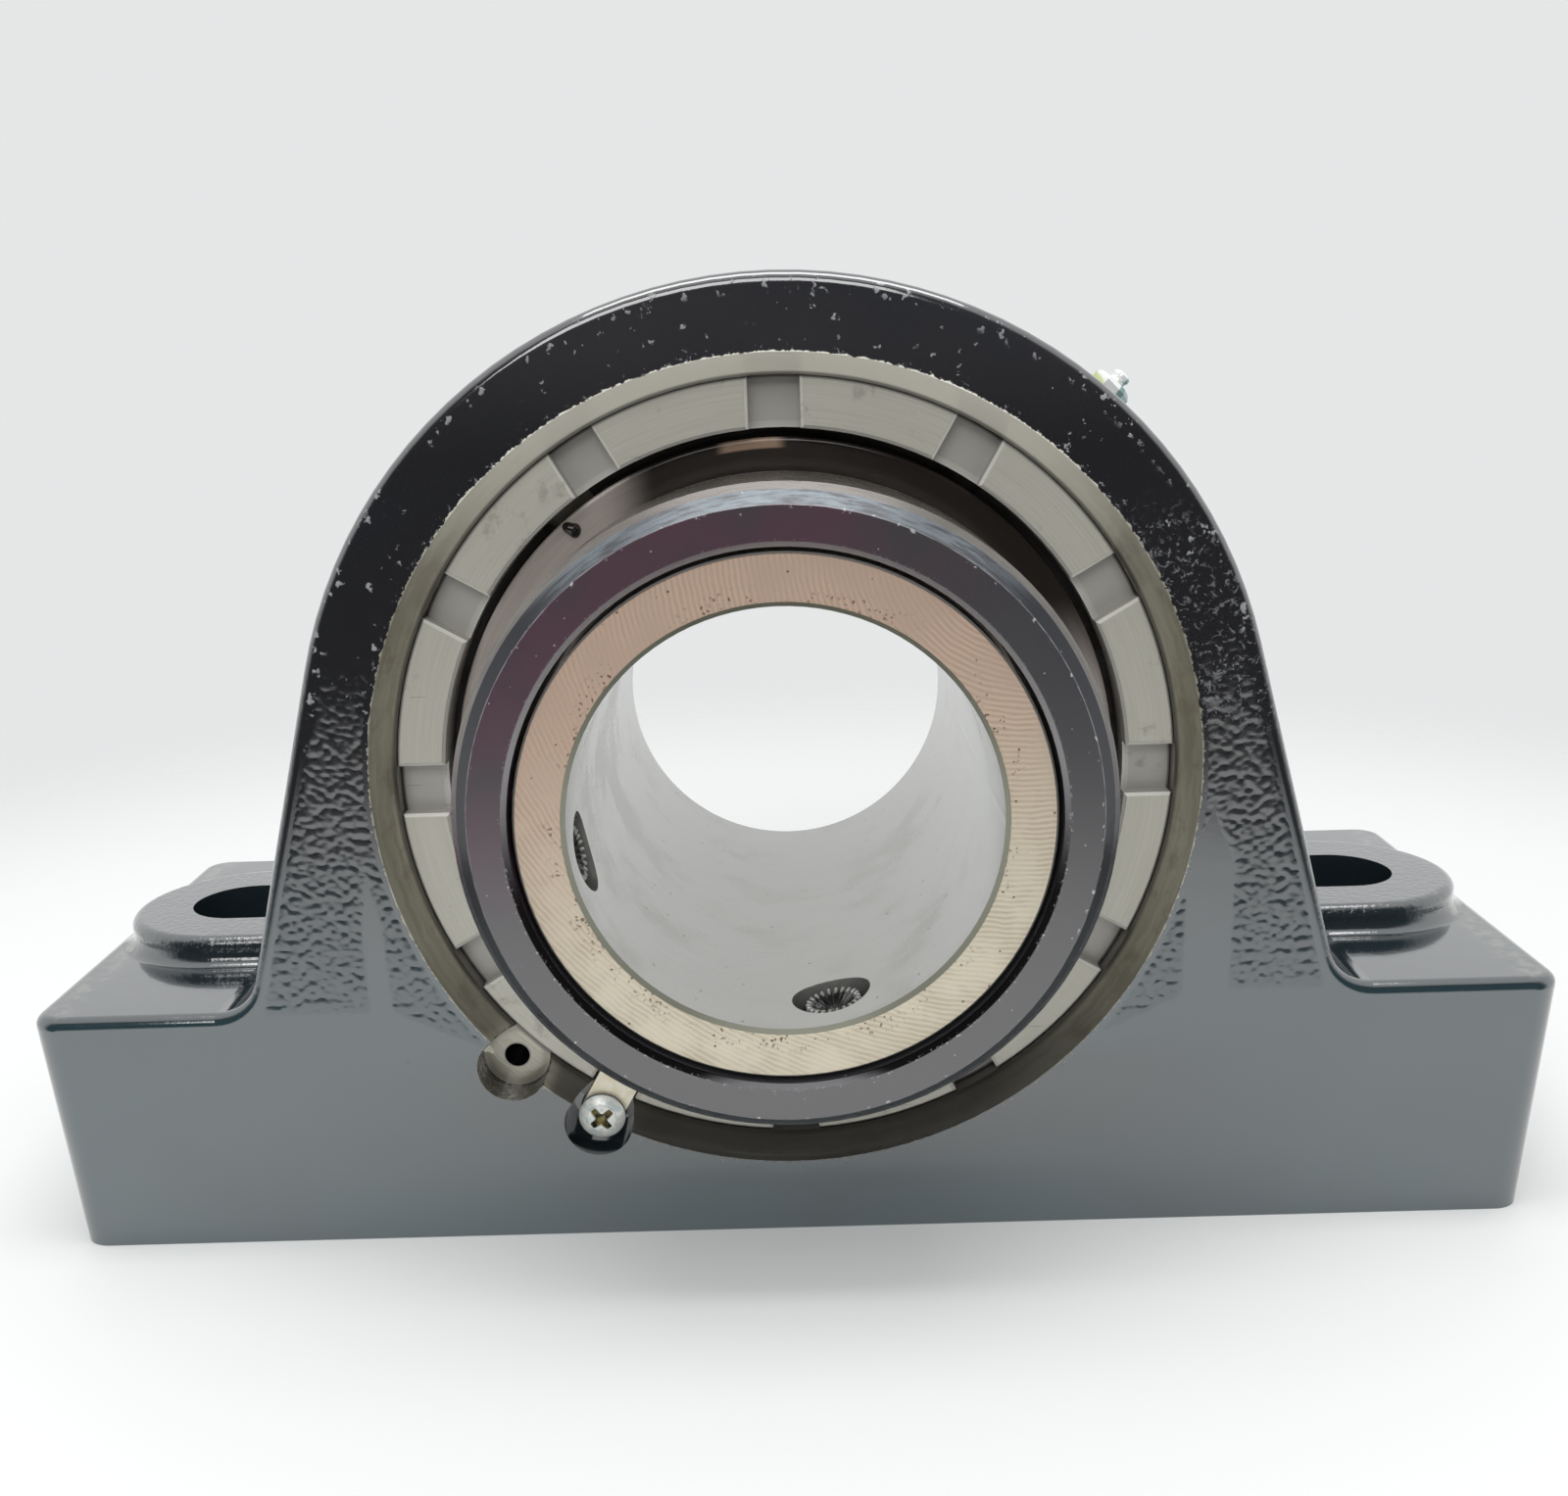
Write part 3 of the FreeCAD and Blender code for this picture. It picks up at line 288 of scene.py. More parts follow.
def mouth_metal(s, streak, well, from_well):
    """Turned metal of the bore's mouth, with the well in it: a painted highlight makes the top bright, and
    painted shade darkens the bottom, the well's edge, the tapped hole and the thread gap.
    """
    metal = s.tint(s.step(streak, 0.3, 0.7), rgb(0.31, 0.29, 0.215), rgb(0.44, 0.42, 0.335))
    stain = s.step(s.noise(s.where, 0.12, 4.0, 0.65), 0.5, 0.66)
    metal = s.tint(s.times(stain, 0.4), metal, rgb(0.15, 0.125, 0.08))
    # Painted shade: the bottom of the mouth darkens to near black, away from the well.
    bottom = s.times(s.step(s.z, 60, 20), s.step(from_well, 6.0, 9.0))
    metal = s.tint(s.times(bottom, 0.88), metal, rgb(0.03, 0.03, 0.028))
    # Painted highlight: the top of the mouth is nearly white.
    metal = s.tint(s.times(s.step(s.z, 112, 148), 0.95), metal, rgb(1.0, 0.98, 0.86))
    # Painted shade in the empty well: darker towards its edge and near black on its wall.
    metal = s.tint(s.times(well, s.between(from_well, 4.6, 5.9, 0.5)), metal, rgb(0.27, 0.25, 0.19))
    metal = s.tint(s.times(well, s.step(from_well, 5.9, 6.1)), metal, rgb(0.05, 0.045, 0.035))
    # Painted shade: near black inside the tapped hole.
    tapped = s.times(s.step(from_well, 2.6, 2.35), s.step(s.y, -41.5, -41.35))
    metal = s.tint(tapped, metal, rgb(0.004, 0.004, 0.004))
    # Painted shade: dark where the cover's thread meets the mouth.
    gap = s.step(s.radius, THREAD_R + 0.75, THREAD_R + 0.25)
    return s.tint(s.times(gap, 0.85), metal, rgb(0.03, 0.027, 0.02))


def enamel_relief(s, front, chipped):
    """Orange peel all over, cast grain on the sides and the rear, and the depth of the chips."""
    peel = s.bump(s.noise(s.where, 0.10, 1.0), 0.09)
    rear = s.step(s.y, HOUSING_FACE - 3, HOUSING_FACE - 1)
    sides = s.times(s.step(s.z, 45, 50), s.step(s.z, 130, 95))
    depth = s.lerp(s.times(sides, s.lerp(front, 1.0, rear)), 0.012, 0.24)
    peel = s.bump(s.times(s.noise(s.where, 0.8, 3.0, 0.6), depth), 1.0, peel)
    return s.bump(chipped, 0.06, peel)


def black_enamel(name, skin=False):
    """Glossy enamel over cast iron, with bare metal in the bore's mouth and one lock well.

    The enamel of the skin's pieces is duller where they stand above the housing's face.
    """
    s = Surface(name)
    ragged = s.times(s.calc("SUBTRACT", s.noise(s.where, 0.9, 3.0, 0.7), 0.5), 1.4)
    inside = s.step(s.add(s.radius, ragged), MOUTH_R + 0.25, MOUTH_R + 0.1)
    inside = s.times(inside, s.step(s.y, HOUSING_FACE - 0.15, HOUSING_FACE - 0.3))
    from_well = well_distance(s)
    well = s.times(s.step(s.add(from_well, ragged), 6.4, 6.2), s.step(s.y, -20, -22))
    bare = s.most(inside, well)
    front = s.step(s.calc("ABSOLUTE", s.y), HOUSING_FACE - 0.6, HOUSING_FACE - 0.1)
    chipped = enamel_chips(s, front)
    streak = s.noise(s.turned(5.0), 1.0, 3.0, 0.6)
    color = s.tint(bare, enamel_paint(s, front, chipped), mouth_metal(s, streak, well, from_well))
    peel, turned = enamel_relief(s, front, chipped), s.bump(streak, 0.03)
    normal = s.node("ShaderNodeMix", {0: bare, 4: peel, 5: turned}, data_type="VECTOR").outputs[1]
    rough = s.lerp(s.noise(s.where, 0.3, 2.0), 0.06, 0.14)
    gloss = {"IOR": 2.1, "Coat_Weight": 0.7, "Coat_Roughness": 0.04}
    if skin:
        rough = s.lerp(s.step(s.y, -HOUSING_FACE, -HOUSING_FACE - 0.12), rough, 0.27)
        gloss = {"IOR": 2.2, "Coat_Weight": 0.25, "Coat_Roughness": 0.12}
    rough = s.lerp(chipped, rough, 0.6)
    rough = s.lerp(bare, rough, s.lerp(streak, 0.3, 0.45))
    metallic = s.times(bare, s.lerp(s.step(s.z, 112, 148), 0.45, 0.1))
    return s.finish(color, metallic, rough, normal, Coat_IOR=1.7, **gloss)


def turned_metal(name, dark, light, rough, spots, spot_share=0.5, groove=0.02):
    """Bare metal with fine rings of the lathe, cloudy stains and an uneven polish."""
    s = Surface(name)
    streak = s.noise(s.turned(4.0), 1.0, 3.0, 0.6)
    color = s.tint(s.step(streak, 0.25, 0.75), rgb(*dark), rgb(*light))
    stain = s.step(s.noise(s.where, 0.1, 4.0, 0.65), 1 - spot_share, 1.12 - spot_share)
    color = s.tint(s.times(stain, 0.6), color, rgb(*spots))
    roughness = s.lerp(s.noise(s.where, 0.2, 3.0), rough * 0.8, rough * 1.25)
    return s.finish(color, 1.0, roughness, s.bump(streak, groove))


def cover_metal():
    """The notched cover: light warm grey, greyer notch floors and scratches, with painted highlights on the
    notch edges and the inner edge and painted shade at the outer rim.
    """
    s = Surface("cover_metal")
    streak = s.noise(s.turned(3.0), 1.0, 3.0, 0.6)
    color = s.tint(s.step(streak, 0.2, 0.8), rgb(0.49, 0.475, 0.415), rgb(0.56, 0.545, 0.48))
    floor = s.step(s.y, -41.4, -40.9)
    color = s.tint(s.times(floor, 0.8), color, rgb(0.53, 0.515, 0.48))
    # Burrs and a painted highlight: light lines along the notch edges near the face.
    brink = s.times(s.step(s.y, -42.08, -42.0), s.step(s.y, -41.45, -41.6))
    color = s.tint(s.times(brink, 0.8), color, rgb(0.80, 0.79, 0.74))
    foot = s.times(s.step(s.y, -38.95, -38.75), s.step(s.radius, 59.6, 59.9))
    color = s.tint(s.times(foot, 0.25), color, rgb(0.2, 0.19, 0.18))
    # Painted shade: the outer rim darkens towards the thread gap.
    rim = s.step(s.radius, THREAD_R - 0.55, THREAD_R - 0.2)
    color = s.tint(s.times(rim, 0.75), color, rgb(0.08, 0.07, 0.055))
    smear = s.step(s.noise(s.where, 0.16, 4.0, 0.7), 0.6, 0.72)
    color = s.tint(s.times(smear, 0.35), color, rgb(0.16, 0.14, 0.12))
    # Painted highlight: the inner edge is lighter.
    bright = s.step(s.radius, 59.2, 58.9)
    color = s.tint(s.times(bright, 0.5), color, rgb(0.6, 0.59, 0.55))
    slanted = s.node("ShaderNodeMapping", {
        "Vector": s.where, "Rotation": (0, 0.6, 0), "Scale": (0.05, 0.5, 1.2)})
    scratch = s.specks(slanted.outputs[0], 0.9, 0.09, 0.2)
    color = s.tint(s.times(scratch, 0.6), color, rgb(0.16, 0.15, 0.14))
    normal = s.bump(s.noise(s.where, 0.9, 3.0, 0.6), 0.012, s.bump(streak, 0.012))
    return s.finish(color, 0.4, s.lerp(s.noise(s.where, 0.3, 3.0), 0.42, 0.55), normal)


def ring_steel():
    """The inner ring: a ground face with slanting marks and rust specks, and a satin bore."""
    s = Surface("ring_steel")
    face = s.step(s.y, RING_FACE + 0.12, RING_FACE + 0.04)
    face = s.times(face, s.step(s.radius, BORE_R + 0.6, BORE_R + 0.8))
    reach = s.length(s.calc("SUBTRACT", s.x, 38.0), s.calc("SUBTRACT", s.up, 44.0))
    wobble = s.times(s.noise(s.where, 0.25, 2.0), 0.9)
    marks = s.calc("SINE", s.times(s.add(reach, wobble), 2 * math.pi / 0.86))
    patchy = s.step(s.noise(s.where, 0.12, 3.0, 0.6), 0.38, 0.62)
    marks = s.times(s.add(s.times(marks, 0.5), 0.5), s.lerp(patchy, 0.25, 1.0))
    # Painted reflection: the face is pinkish above and cream below.
    warm = s.step(s.calc("SUBTRACT", s.up, s.times(s.x, 0.2)), -26, 26)
    color = s.tint(warm, rgb(0.72, 0.665, 0.53), rgb(0.66, 0.49, 0.385))
    color = s.tint(s.times(marks, 0.38), color, rgb(0.38, 0.275, 0.20))
    near = s.step(s.radius, BORE_R + 4.6, BORE_R + 1.6)
    near = s.times(near, s.step(s.noise(s.where, 0.16, 2.0), 0.42, 0.58))
    rust = s.times(s.specks(s.torn(s.where, 1.2, 1.2), 1.3, 0.36, 0.75), near)
    rust = s.most(rust, s.specks(s.where, 0.5, 0.12, 0.35))
    color = s.tint(s.times(rust, 0.85), color, rgb(0.11, 0.06, 0.03))
    streak = s.noise(s.turned(3.0), 1.0, 3.0, 0.6)
    satin = s.tint(s.step(streak, 0.25, 0.75), rgb(0.43, 0.43, 0.405), rgb(0.455, 0.455, 0.43))
    film = s.step(s.noise(s.where, 0.045, 3.0, 0.6), 0.48, 0.68)
    satin = s.tint(s.times(film, 0.2), satin, rgb(0.36, 0.34, 0.31))
    dots = s.times(s.specks(s.where, 0.28, 0.1, 0.4), s.step(s.radius, BORE_R + 0.4, BORE_R + 0.2))
    satin = s.tint(s.times(dots, 0.7), satin, rgb(0.10, 0.09, 0.08))
    chamfer = s.step(s.y, RING_FACE + 0.95, RING_FACE + 0.8)
    chamfer = s.times(chamfer, s.step(s.radius, BORE_R + 0.9, BORE_R + 0.75))
    satin = s.tint(chamfer, satin, rgb(0.25, 0.25, 0.20))
    relief = s.bump(s.times(marks, face), 0.035, s.bump(streak, 0.004))
    relief = s.bump(s.times(rust, face), -0.05, relief)
    rough = s.lerp(face, s.lerp(film, 0.22, 0.30), s.lerp(patchy, 0.46, 0.56))
    return s.finish(s.tint(face, satin, color), 0.7, rough, relief)


def collar_oxide():
    """The locking collar: black oxide with a purple cast, with painted highlights along the bevel's top and
    inner edge and painted light and shade on the inner lip.
    """
    s = Surface("collar_oxide")
    streak = s.noise(s.turned(2.2), 1.0, 3.0, 0.6)
    cloud = s.noise(s.where, 0.035, 3.0, 0.6)
    purple = s.times(s.step(cloud, 0.35, 0.6), s.step(s.calc("SUBTRACT", s.up, s.times(s.x, 0.8)), 0, 45))
    color = s.tint(purple, rgb(0.040, 0.038, 0.042), rgb(0.066, 0.028, 0.044))
    bevel = s.between(s.radius, COLLAR_R - 3.0, COLLAR_R - 1.0, 0.12)
    bevel = s.times(bevel, s.step(s.y, COLLAR_FACE + 4.4, COLLAR_FACE + 4.1))
    worn = s.step(s.noise(s.turned(1.1, 9.0), 1.0, 3.0, 0.65), 0.35, 0.6)
    upper = s.step(s.up, 32, 43)
    color = s.tint(bevel, color, rgb(0.040, 0.041, 0.047))
    # Painted highlight: the bevel's top is bluish light grey, in streaks.
    bevel_top_highlight = s.times(s.times(bevel, upper), s.lerp(worn, 0.05, 0.95))
    color = s.tint(bevel_top_highlight, color, rgb(0.15, 0.178, 0.20))
    side = s.step(s.radius, COLLAR_R - 1.1, COLLAR_R - 0.95)
    turned_side = s.times(side, s.times(s.lerp(worn, 0.6, 0.95), s.step(s.up, -6, 22)))
    color = s.tint(turned_side, color, rgb(0.17, 0.155, 0.135))
    rear = s.step(s.y, COLLAR_FACE + 25.5, COLLAR_FACE + 25.9)
    color = s.tint(rear, color, rgb(0.85, 0.85, 0.80))
    # Painted light and shade on the inner lip: light grey where lit, at the top and the bottom, near black
    # elsewhere.
    lip = s.step(s.radius, RING_R + 1.65, RING_R + 1.45)
    lip = s.times(lip, s.step(s.y, COLLAR_FACE + 1.2, COLLAR_FACE + 1.0))
    lit = s.most(s.step(s.up, -12, 14), s.times(s.step(s.up, -40.5, -43), 0.7))
    color = s.tint(s.times(lip, 0.9), color, s.tint(lit, rgb(0.006, 0.006, 0.006), rgb(0.25, 0.24, 0.25)))
    burr = s.specks(s.torn(s.where, 2.0, 1.2), 1.8, 0.34, 0.6)
    burr = s.times(burr, s.between(s.radius, RING_R + 1.3, RING_R + 1.9, 0.2))
    nick = s.specks(s.torn(s.where, 1.5, 1.5), 0.9, 0.34, 0.3)
    nick = s.times(nick, s.between(s.radius, COLLAR_R - 3.5, COLLAR_R - 2.9, 0.15))
    dust = s.specks(s.where, 0.45, 0.09, 0.4)
    bright = s.most(nick, s.times(burr, s.lerp(lit, 0.9, 0.2)), s.times(dust, 0.6))
    color = s.tint(bright, color, rgb(0.4, 0.39, 0.42))
    # Painted highlight: a broken light line along the bevel's inner edge.
    edge = s.between(s.radius, COLLAR_R - 3.14, COLLAR_R - 3.04, 0.04)
    edge = s.times(edge, s.step(s.noise(s.where, 0.4, 3.0), 0.42, 0.6))
    color = s.tint(s.times(edge, 0.5), color, rgb(0.30, 0.31, 0.34))
    metallic = s.most(s.times(bevel, s.lerp(upper, 1.0, 0.6)), s.times(side, 0.6), s.times(rear, 0.4),
                      s.times(lip, s.lerp(lit, 1.0, 0.7)))
    normal = s.bump(s.noise(s.where, 0.3, 1.0), 0.004, s.bump(streak, 0.002))
    rough = s.lerp(s.most(s.times(bevel, upper), side), s.lerp(cloud, 0.2, 0.3), s.lerp(worn, 0.3, 0.2))
    return s.finish(color, metallic, rough, normal, IOR=2.15)


def flinger_steel():
    """Polished disc with smears of dark grease towards its rim, a dark band at the rim that is grease and
    painted shade, and a tan patch at the top.
    """
    s = Surface("flinger_steel")
    streak = s.noise(s.turned(2.0), 1.0, 3.0, 0.6)
    color = s.tint(s.step(streak, 0.2, 0.8), rgb(0.42, 0.37, 0.34), rgb(0.52, 0.465, 0.43))
    front = s.step(s.y, 0, -1)
    wider = s.lerp(front, 0.0, 3.4)
    wander = s.times(s.calc("SUBTRACT", s.noise(s.turned(0.12, 3.5), 1.0, 4.0, 0.6), 0.5), 7.0)
    reach = s.calc("SUBTRACT", s.add(s.radius, wander), wider)
    upper = s.times(s.step(s.up, 8, 30), s.step(s.x, -31, -20))
    # A grease smear on the upper left of the front, and at the rim a dark band that is grease and painted
    # shade.
    grease = s.step(reach, 45.6, 46.6)
    grease = s.most(s.times(s.times(grease, upper), front), s.step(reach, 54.6, 55.2))
    color = s.tint(grease, color, rgb(0.018, 0.014, 0.012))
    tan = s.times(s.between(s.x, -9, 1, 1.2), s.times(s.step(s.up, 48, 50), front))
    tan = s.times(tan, s.step(s.radius, 55.2, 55.6))
    color = s.tint(s.times(tan, 0.8), color, rgb(0.33, 0.23, 0.16))
    metallic = s.lerp(grease, 0.4, 0.0)
    normal = s.bump(grease, 0.25, s.bump(streak, 0.01))
    return s.finish(color, metallic, s.lerp(grease, 0.28, 0.16), normal)


def zinc(name, base, tinge, rough, metallic):
    """Bright zinc plate with a passivated tinge that changes over the surface."""
    s = Surface(name)
    cloud = s.noise(s.where, 0.45, 3.0, 0.6)
    color = s.tint(s.step(cloud, 0.42, 0.62), rgb(*base), rgb(*tinge))
    grain = s.noise(s.where, 2.0, 2.0)
    return s.finish(color, metallic, s.lerp(grain, rough * 0.8, rough * 1.6), s.bump(grain, 0.01))


def fitting_zinc():
    """Yellow-passivated fitting: green-yellow below and one red blot, with a painted reflection above, white on
    one side and teal on the other.
    """
    s = Surface("fitting_zinc")
    cloud = s.noise(s.where, 0.5, 3.0, 0.6)
    along = s.add(s.times(s.x, 0.7071), s.times(s.up, 0.7071))
    side = s.add(s.times(s.x, 0.7071), s.times(s.up, -0.7071))
    # Painted reflection: white on one side and teal on the other.
    color = s.tint(s.step(s.add(side, cloud), 1.1, 1.7), rgb(0.86, 0.88, 0.86), rgb(0.20, 0.30, 0.30))
    low = s.step(s.add(along, cloud, s.times(side, 0.5)), 87.6, 86.8)
    color = s.tint(s.times(low, 0.9), color, rgb(0.52, 0.58, 0.22))
    red = s.times(s.between(along, 84.9, 86.7, 0.4), s.between(side, 0.2, 1.9, 0.5))
    color = s.tint(s.times(red, 0.75), color, rgb(0.50, 0.10, 0.06))
    return s.finish(color, 0.3, s.lerp(cloud, 0.14, 0.3), s.bump(cloud, 0.02))


def plain_material(name, dark, light, rough, grain=0.5, depth=0.03):
    """Two close dark shades in a fine grain, not metal."""
    s = Surface(name)
    cloud = s.noise(s.where, grain, 4.0, 0.6)
    color = s.tint(s.step(cloud, 0.3, 0.7), rgb(*dark), rgb(*light))
    return s.finish(color, 0.0, s.lerp(cloud, rough * 0.8, rough * 1.2), s.bump(cloud, depth))


def dress(names, material):
    for name in names:
        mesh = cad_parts[name].data
        mesh.materials.clear()
        mesh.materials.append(material)


def both(name):
    return [name + "_front", name + "_rear"]


def dress_nodes():
    bearing = turned_metal("bearing_steel", (0.46, 0.46, 0.47), (0.60, 0.60, 0.60), 0.16,
                           (0.34, 0.28, 0.20), spot_share=0.42, groove=0.01)
    dress(["housing"], ENAMEL)
    dress(["outer_ring", "guide_ring"] + both("rollers"), bearing)
    dress(["threaded_cover"], cover_metal())
    dress(both("seal_case"), turned_metal("seal_case_steel", (0.20, 0.18, 0.16), (0.34, 0.31, 0.27), 0.35,
                                          (0.03, 0.025, 0.02)))
    dress(both("snap_ring"), turned_metal("spring_steel", (0.03, 0.028, 0.028), (0.08, 0.075, 0.07), 0.3,
                                          (0.02, 0.015, 0.012)))
    dress(both("seal_ring"), plain_material("seal_rubber", (0.012, 0.011, 0.011), (0.03, 0.028, 0.027), 0.5))
    dress(["flinger_rear"], FLINGER)
    dress(both("cage"), turned_metal("cage_brass", (0.46, 0.33, 0.12), (0.62, 0.46, 0.19), 0.28,
                                     (0.25, 0.17, 0.07), spot_share=0.45))
    dress(["inner_ring"], ring_steel())
    dress(["locking_collar"], collar_oxide())
    dress(["lock_tab"], zinc("tab_zinc", (0.80, 0.74, 0.56), (0.86, 0.82, 0.68), 0.4, 0.5))


def new_piece(name, mesh_data, material, body):
    """An object from (vertices, faces) in millimetres in the row frame, riding on a body."""
    vertices, faces = mesh_data
    mesh = bpy.data.meshes.new(name)
    mesh.from_pydata([Vector(vertex) * MM for vertex in vertices], [], faces)
    mesh.validate()
    mesh.materials.append(material)
    bm = bmesh.new()
    bm.from_mesh(mesh)
    bmesh.ops.recalc_face_normals(bm, faces=bm.faces)
    bm.to_mesh(mesh)
    bm.free()
    for polygon in mesh.polygons:
        polygon.use_smooth = True
    piece = bpy.data.objects.new(name, mesh)
    bpy.context.scene.collection.objects.link(piece)
    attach(piece, body)
    return piece


def wrap(columns, rows, around=True):
    """Quads of a grid of rows by columns, closed round the columns."""
    last = columns if around else columns - 1
    return [(row * columns + column, row * columns + (column + 1) % columns,
             (row + 1) * columns + (column + 1) % columns, (row + 1) * columns + column)
            for row in range(rows - 1) for column in range(last)]


def ramp(value, low, high):
    share = min(1.0, max(0.0, (value - low) / (high - low)))
    return share * share * (3 - 2 * share)


def cast_mask(x, z, strip):
    """How rough the casting is at a place on the housing's face; 0 is smooth."""
    across = abs(x)
    from_axis = math.hypot(x, z - AXIS_Z)
    crown = AXIS_Z + CROWN_R * math.sin(FLANK_LEAN)
    flank = CROWN_R * math.cos(FLANK_LEAN) + (crown - z) * math.tan(FLANK_LEAN)
    if z > crown:
        flank = math.sqrt(max(0.0, CROWN_R ** 2 - (z - AXIS_Z) ** 2))
    strip_low, strip_high, strip_top = strip
    floor_z = 44.6 if across > strip_high else 36.9 + (across - 54.2) * 0.465
    narrow = ramp(z, strip_top, strip_top - 14)
    middle, reach = (strip_low + strip_high) / 2, (strip_high - strip_low) / 2 * narrow
    on_strip = ramp(abs(across - middle), reach + 0.9, reach - 0.3) if narrow > 0 else 0.0
    inside = ramp(flank - across, 2.2, 4.0) * ramp(from_axis - MOUTH_R, 0.5, 2.2) * ramp(z - floor_z, 0.0, 1.6)
    return inside * (1 - on_strip) * ramp(z, CAST_TOP, CAST_TOP - 30)


def cast_height(x, z):
    """Pebbled skin of the casting, in millimetres."""
    place = Vector((x * 0.80, z * 0.90, 0.0))
    coarse = noise.noise(place)
    fine = noise.noise(place * 2.1 + Vector((3, 5, 1)))
    return 0.19 * ramp(coarse + 0.6 * fine, -0.6, 0.6)


def cast_skin(name, side, strip):
    """A patch of rough casting on one leg, a little proud of the housing's front."""
    pitch, left, right, bottom = 0.36, 48.0, 99.0, 36.0
    columns, rows = int((right - left) / pitch) + 1, int((CAST_TOP + 4 - bottom) / pitch) + 1
    vertices, weights = [], []
    for row in range(rows):
        for column in range(columns):
            x, z = side * (left + column * pitch), bottom + row * pitch
            weight = cast_mask(x, z, strip)
            weights.append(weight)
            rise = weight * (0.06 + cast_height(x, z)) - 0.04
            vertices.append((x, -HOUSING_FACE - rise, z))
    faces = [quad for quad in wrap(columns, rows, False) if max(weights[corner] for corner in quad) > 0.04]
    used = sorted({corner for quad in faces for corner in quad})
    place = {old: new for new, old in enumerate(used)}
    shape = [vertices[old] for old in used], [[place[corner] for corner in quad] for quad in faces]
    return new_piece(name, shape, CAST_ENAMEL, "base")


def make_cast_skins():
    """Both legs' patches; a smooth strip between two distances from the middle fades out at a height."""
    cast_skin("cast_skin_front_left", -1, (71.0, 74.4, 72.0))
    cast_skin("cast_skin_front_right", 1, (68.8, 76.6, 80.0))


def placed(points, direction, along):
    """Points of a screw along its own Z, turned so that Z points from the shaft axis outward."""
    out = Vector((math.cos(direction), 0, math.sin(direction)))
    side = Vector((0, 1, 0))
    third = out.cross(side)
    origin = Vector((0, along, AXIS_Z))
    return [origin + third * x + side * y + out * z for x, y, z in points]


def turn_rows(rows, columns):
    """Points of rows of (reach, height) pairs laid round a screw's own Z."""
    points = []
    for line in rows:
        for column, (reach, height) in enumerate(line):
            angle = 2 * math.pi * column / columns
            points.append((reach * math.cos(angle), reach * math.sin(angle), height))
    return points


def hexagon_share(column, columns):
    """Reach of a hexagon round its corners' circle, as a share of the corners' reach."""
    angle = 2 * math.pi * column / columns
    return math.cos(math.pi / 6) / math.cos((angle % (math.pi / 3)) - math.pi / 6)


def set_screw(name, node, body, direction):
    """Set screw with its thread, knurled cup point and hexagon socket."""
    columns, radius, tip, end, pitch, depth = 132, 6.33, 34.6, 50.6, 1.954, 1.0
    teeth = 22
    rows = []

    def ring(height, reach):
        rows.append([(reach, height)] * columns)

    ring(tip + 2.1, 0.02)
    ring(tip + 1.9, 1.0)
    cup = ((1.9, 1.5, 1.7), (2.9, 0.85, 1.5), (3.9, 0.25, 1.25),
           (4.5, 0.0, 1.1), (5.0, 0.45, 1.4), (5.4, 1.2, 1.6))
    for reach, low, high in cup:
        line = []
        for column in range(columns):
            wave = 0.5 + 0.5 * math.cos(2 * math.pi * (teeth * column / columns + 0.12 * reach))
            line.append((reach, tip + low + (high - low) * ramp(wave, 0.25, 0.85)))
        rows.append(line)
    steps = 72
    for step in range(steps + 1):
        height = tip + 1.7 + (end - tip - 2.3) * step / steps
        line = []
        for column in range(columns):
            turn = (height / pitch - column / columns) % 1.0
            groove = abs(turn * 2 - 1)
            cut = depth * ramp(groove, 0.15, 0.95)
            taper = ramp(height, tip + 1.2, tip + 2.6) * ramp(height, end - 0.4, end - 1.2)
            line.append((radius - depth + (depth - cut) * taper, height))
        rows.append(line)
    ring(end, radius - depth - 0.3)
    corner = 6.35 / math.sqrt(3)
    for height, share in ((end, 1.06), (end - 0.25, 1.0), (end - 6.4, 1.0)):
        rows.append([(corner * hexagon_share(column, columns) * share, height) for column in range(columns)])
    ring(end - 7.2, 0.02)
    points = placed(turn_rows(rows, columns), direction, COLLAR_FACE + SCREW_AXIS_DEPTH)
    shape = points, wrap(columns, len(rows))
    piece = new_piece(name, shape, SCREW_OXIDE, body)
    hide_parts(node)


